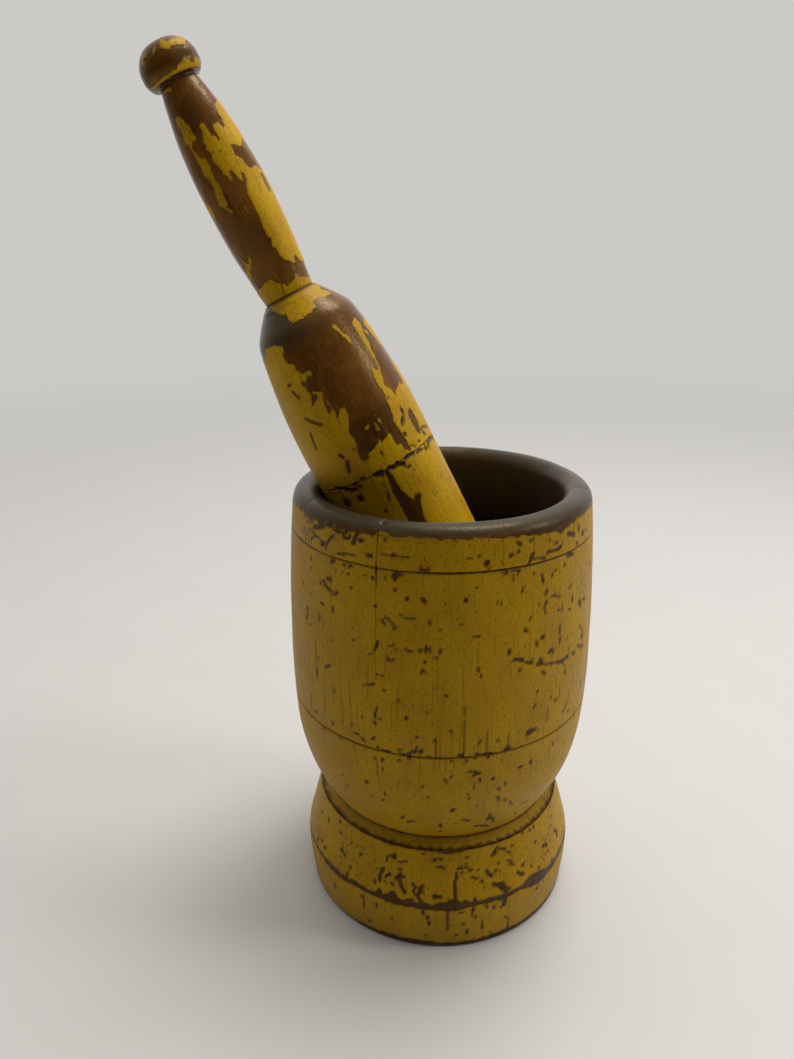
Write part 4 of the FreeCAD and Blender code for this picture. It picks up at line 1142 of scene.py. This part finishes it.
def painted_wood(name, paints, woods, pith, wood_roughness):
    """Old oil paint over turned wood, driven by the piece's attributes of wear, dirt, painted shade and
    painted sheen.
    """
    graph = Graph(name)
    turned = graph.attribute("turned")
    edge, dirt_and_shade, flecks = graph.parts(graph.attribute("wear"))
    crack, crack_width, grey_and_sheen = graph.parts(graph.attribute("lines"))
    rings, fibres = grain(graph, turned, pith)
    mottle = graph.noise(turned, 11.0, 4.0, along=1.8)
    patchy = graph.noise(turned, 34.0, 2.0)
    streaks = graph.noise(turned, 1.1, 3.0, along=22.0)

    # edge of the paint, ragged at two scales
    coarse = graph.noise(turned, 2.6, 2.0, along=1.4)
    fine = graph.noise(turned, 0.9, 3.0, along=1.4, rough=0.6)
    ragged = graph.math("ADD", edge, graph.spread(coarse, 1.25))
    ragged = graph.math("ADD", ragged, graph.spread(fine, 1.1))
    on_paint = graph.step(ragged, -0.05, 0.05)

    # small flecks, clustered
    cluster = graph.noise(turned, 9.0, 2.0, along=1.6)
    density = graph.math("MULTIPLY", flecks, graph.step(cluster, 0.38, 0.64, 0.25, 1.5))
    limit = graph.math("MULTIPLY_ADD", density, -0.13, 0.775)
    dashes = graph.noise(turned, 0.95, 2.5, along=2.6)
    fleck = graph.step(graph.math("SUBTRACT", dashes, limit), -0.012, 0.012)
    on_paint = graph.math("MULTIPLY", on_paint, graph.math("SUBTRACT", 1.0, fleck))

    # hairline cracks
    off_line = graph.math("ABSOLUTE", crack)
    off_line = graph.math("ADD", off_line, graph.spread(fine, 0.1))
    open_line = graph.step(graph.math("SUBTRACT", off_line, crack_width), -0.04, 0.04, 1.0, 0.0)
    has_line = graph.step(crack_width, 0.01, 0.04)
    cracked = graph.math("MULTIPLY", open_line, has_line)

    # paint colour
    paint = graph.mix(graph.step(mottle, 0.32, 0.68), *paints)
    paint = graph.mix(graph.step(streaks, 0.35, 0.62, 0.30, 0.0), paint, paints[0])
    paint = graph.mix(graph.step(streaks, 0.30, 0.40, 0.38, 0.0), paint, PAINT_DIRT)
    paint = graph.mix(graph.step(patchy, 0.36, 0.62, 0.0, 0.08), paint, PAINT_DIRT)
    specks = graph.noise(turned, 0.62, 2.0, along=1.8)
    paint = graph.mix(graph.step(specks, 0.54, 0.70, 0.0, 0.55), paint, PAINT_DIRT)
    near_edge = graph.step(ragged, 0.02, 0.45, 0.5, 0.0)
    paint = graph.mix(near_edge, paint, PAINT_DIRT)
    near_fleck = graph.step(graph.math("SUBTRACT", dashes, limit), -0.10, 0.0, 0.0, 0.32)
    paint = graph.mix(near_fleck, paint, PAINT_DIRT)

    # wood colour
    figure = graph.math("MULTIPLY_ADD", fibres, 0.30, graph.math("MULTIPLY", rings, 0.38))
    figure = graph.math("MULTIPLY_ADD", mottle, 0.32, figure)
    wood = graph.mix(graph.step(figure, 0.38, 0.60), *woods)
    pores = graph.noise(turned, 0.7, 2.0, along=30.0)
    wood = graph.mix(graph.step(pores, 0.56, 0.70, 0.0, 0.55), wood, woods[0])
    # Greyness where the attribute asks: the old wood's own tone and painted sheen.
    grey_and_sheen_share = graph.math("MULTIPLY", grey_and_sheen, graph.step(mottle, 0.3, 0.6, 0.75, 1.0))
    wood = graph.mix(grey_and_sheen_share, wood, GREY_WOOD_AND_SHEEN)

    colour = graph.mix(on_paint, wood, paint)
    # Dirt and painted shade darken the colour, then the cracks.
    dirt_and_shade_share = graph.math("MULTIPLY", dirt_and_shade, graph.step(coarse, 0.3, 0.62, 0.8, 1.0))
    colour = graph.mix(dirt_and_shade_share, colour, DIRT_AND_SHADE_COLOUR)
    colour = graph.mix(graph.math("MULTIPLY", cracked, 0.75), colour, DIRT_AND_SHADE_COLOUR)
    graph.put(graph.shader.inputs["Base Color"], colour)

    # roughness: rubbed wood shines a little more than paint
    wood_rough = graph.step(fine, 0.3, 0.7, wood_roughness - 0.08, wood_roughness + 0.06)
    paint_rough = graph.step(mottle, 0.3, 0.7, 0.42, 0.56)
    rough = graph.math("MULTIPLY_ADD", graph.math("SUBTRACT", paint_rough, wood_rough), on_paint, wood_rough)
    rough = graph.math("MULTIPLY_ADD", cracked, 0.3, rough)
    graph.put(graph.shader.inputs["Roughness"], rough)
    graph.put(graph.shader.inputs["IOR"], 1.5)
    graph.put(graph.shader.inputs["Specular IOR Level"], 0.25)
    graph.put(graph.shader.inputs["Specular Tint"], (*SHEEN, 1.0))

    # relief in mm
    relief = graph.math("MULTIPLY", on_paint, 0.10)
    for layer, rise in ((fibres, 0.03), (streaks, 0.07), (mottle, 0.12), (fine, 0.07), (cracked, -0.3)):
        relief = graph.math("MULTIPLY_ADD", layer, rise, relief)
    bump = graph.add("ShaderNodeBump")
    graph.put(bump.inputs["Strength"], 1.0)
    graph.put(bump.inputs["Distance"], MM)
    graph.put(bump.inputs["Height"], relief)
    graph.put(graph.shader.inputs["Normal"], bump.outputs["Normal"])
    return graph.material


# ---------------------------------------------------------------- stage, light and camera

FLOOR_COLOUR = (0.60, 0.585, 0.56)
BACKGROUND = (0.60, 0.59, 0.565)


def make_floor():
    """Pale table top whose rim fades out, so that no horizon shows."""
    low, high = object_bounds()
    middle = (low + high) / 2
    ring_radii = (0.3, 0.8, 2.2)
    count = 96
    turn = np.radians(np.arange(count) * 360 / count)
    points = [(middle.x, middle.y, CAD_LOW.z)]
    for radius in ring_radii:
        points += [(middle.x + radius * math.cos(a), middle.y + radius * math.sin(a), CAD_LOW.z)
                   for a in turn]
    faces = [(0, 1 + i, 1 + (i + 1) % count) for i in range(count)]
    for ring in range(len(ring_radii) - 1):
        inner, outer = 1 + ring * count, 1 + (ring + 1) * count
        for i in range(count):
            j = (i + 1) % count
            faces.append((inner + i, outer + i, outer + j, inner + j))
    mesh = bpy.data.meshes.new("floor")
    mesh.from_pydata(points, [], faces)
    floor = bpy.data.objects.new("floor", mesh)
    bpy.context.scene.collection.objects.link(floor)
    floor.data.materials.append(floor_material(middle))


def floor_material(middle):
    graph = Graph("pale_table")
    place = graph.add("ShaderNodeNewGeometry").outputs["Position"]
    in_mm = graph.stretched(place, (1000.0, 1000.0, 1000.0))
    tone = graph.noise(in_mm, 40.0, 4.0)
    shade = tuple(0.985 * c for c in FLOOR_COLOUR)
    colour = graph.mix(graph.step(tone, 0.3, 0.7), shade, FLOOR_COLOUR)
    graph.put(graph.shader.inputs["Base Color"], colour)
    graph.put(graph.shader.inputs["Roughness"], 0.6)
    x, y, _ = graph.parts(place)
    off_x = graph.math("SUBTRACT", x, middle.x)
    off_y = graph.math("SUBTRACT", y, middle.y)
    squared = graph.math("MULTIPLY_ADD", off_x, off_x, graph.math("MULTIPLY", off_y, off_y))
    graph.put(graph.shader.inputs["Alpha"], graph.step(graph.math("SQRT", squared), 0.45, 1.7, 1.0, 0.0))
    return graph.material


def make_world():
    """Bright room behind and above, dimmer on the camera's side; a plain pale backdrop for the eye."""
    world = bpy.data.worlds.new("studio")
    bpy.context.scene.world = world
    world.use_nodes = True
    tree = world.node_tree
    backdrop = tree.nodes["Background"]
    backdrop.inputs["Color"].default_value = (*BACKGROUND, 1.0)
    backdrop.inputs["Strength"].default_value = 1.0
    light = tree.nodes.new("ShaderNodeBackground")
    coordinates = tree.nodes.new("ShaderNodeTexCoord")
    along = tree.nodes.new("ShaderNodeVectorMath")
    along.operation = "DOT_PRODUCT"
    brightest_way = Vector((0.10, 0.78, 0.56)).normalized()
    along.inputs[1].default_value = brightest_way
    tree.links.new(coordinates.outputs["Generated"], along.inputs[0])
    strength = tree.nodes.new("ShaderNodeMapRange")
    for socket, value in (("From Min", -0.45), ("From Max", 1.0), ("To Min", 0.03), ("To Max", 1.10)):
        strength.inputs[socket].default_value = value
    tree.links.new(along.outputs["Value"], strength.inputs["Value"])
    light.inputs["Color"].default_value = (1.0, 0.985, 0.955, 1.0)
    tree.links.new(strength.outputs["Result"], light.inputs["Strength"])
    path = tree.nodes.new("ShaderNodeLightPath")
    choose = tree.nodes.new("ShaderNodeMixShader")
    tree.links.new(path.outputs["Is Camera Ray"], choose.inputs[0])
    tree.links.new(light.outputs[0], choose.inputs[1])
    tree.links.new(backdrop.outputs[0], choose.inputs[2])
    tree.links.new(choose.outputs[0], tree.nodes["World Output"].inputs["Surface"])


def make_light(name, place, target, size, power):
    data = bpy.data.lights.new(name, "AREA")
    data.shape = "DISK"
    data.size = size
    data.energy = power
    light = bpy.data.objects.new(name, data)
    bpy.context.scene.collection.objects.link(light)
    light.location = place
    light.rotation_mode = "QUATERNION"
    light.rotation_quaternion = (Vector(target) - Vector(place)).to_track_quat("-Z", "Y")


def make_lights():
    target = (CAD_LOW + CAD_HIGH) / 2
    make_light("overhead", (0.25, 0.20, 1.20), target, 0.5, 7.0)
    make_light("right_window", (0.85, -0.12, 0.75), target, 0.25, 2.6)


def make_camera():
    """Close, from in front and above, as one photographs something on a table."""
    stand_off = 0.306
    aside = -0.0179
    eye_height = 0.2724
    pitch = math.radians(19.93)
    roll = math.radians(0.363)
    data = bpy.data.cameras.new("camera")
    data.sensor_width = 36.0
    data.lens = 27.03               # mm, assumed
    data.clip_start = 0.01
    camera = bpy.data.objects.new("camera", data)
    bpy.context.scene.collection.objects.link(camera)
    look = Matrix.Rotation(math.pi / 2 - pitch, 4, "X") @ Matrix.Rotation(-roll, 4, "Z")
    camera.matrix_world = Matrix.Translation((aside, -stand_off, eye_height)) @ look
    bpy.context.scene.camera = camera


def dress(piece, node, body, material):
    """Hang a piece on its CAD body in place of the node it stands for."""
    piece.data.materials.append(material)
    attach(piece, body)
    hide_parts(node)


def main():
    bpy.context.scene.view_settings.view_transform = "Standard"
    make_camera()
    dress(make_mortar(), "mortar", "mortar",
          painted_wood("mortar_painted_wood", MORTAR_PAINT, MORTAR_WOOD, pith=(9.0, -6.0),
                       wood_roughness=0.36))
    dress(make_head(), "pestle_head", "pestle",
          painted_wood("head_painted_wood", PESTLE_PAINT, MORTAR_WOOD, pith=(-4.0, 7.0),
                       wood_roughness=0.27))
    dress(make_handle(), "pestle_handle", "pestle",
          painted_wood("handle_painted_wood", PESTLE_PAINT, HANDLE_WOOD, pith=(2.0, 3.0),
                       wood_roughness=0.24))
    make_floor()
    make_world()
    make_lights()


main()
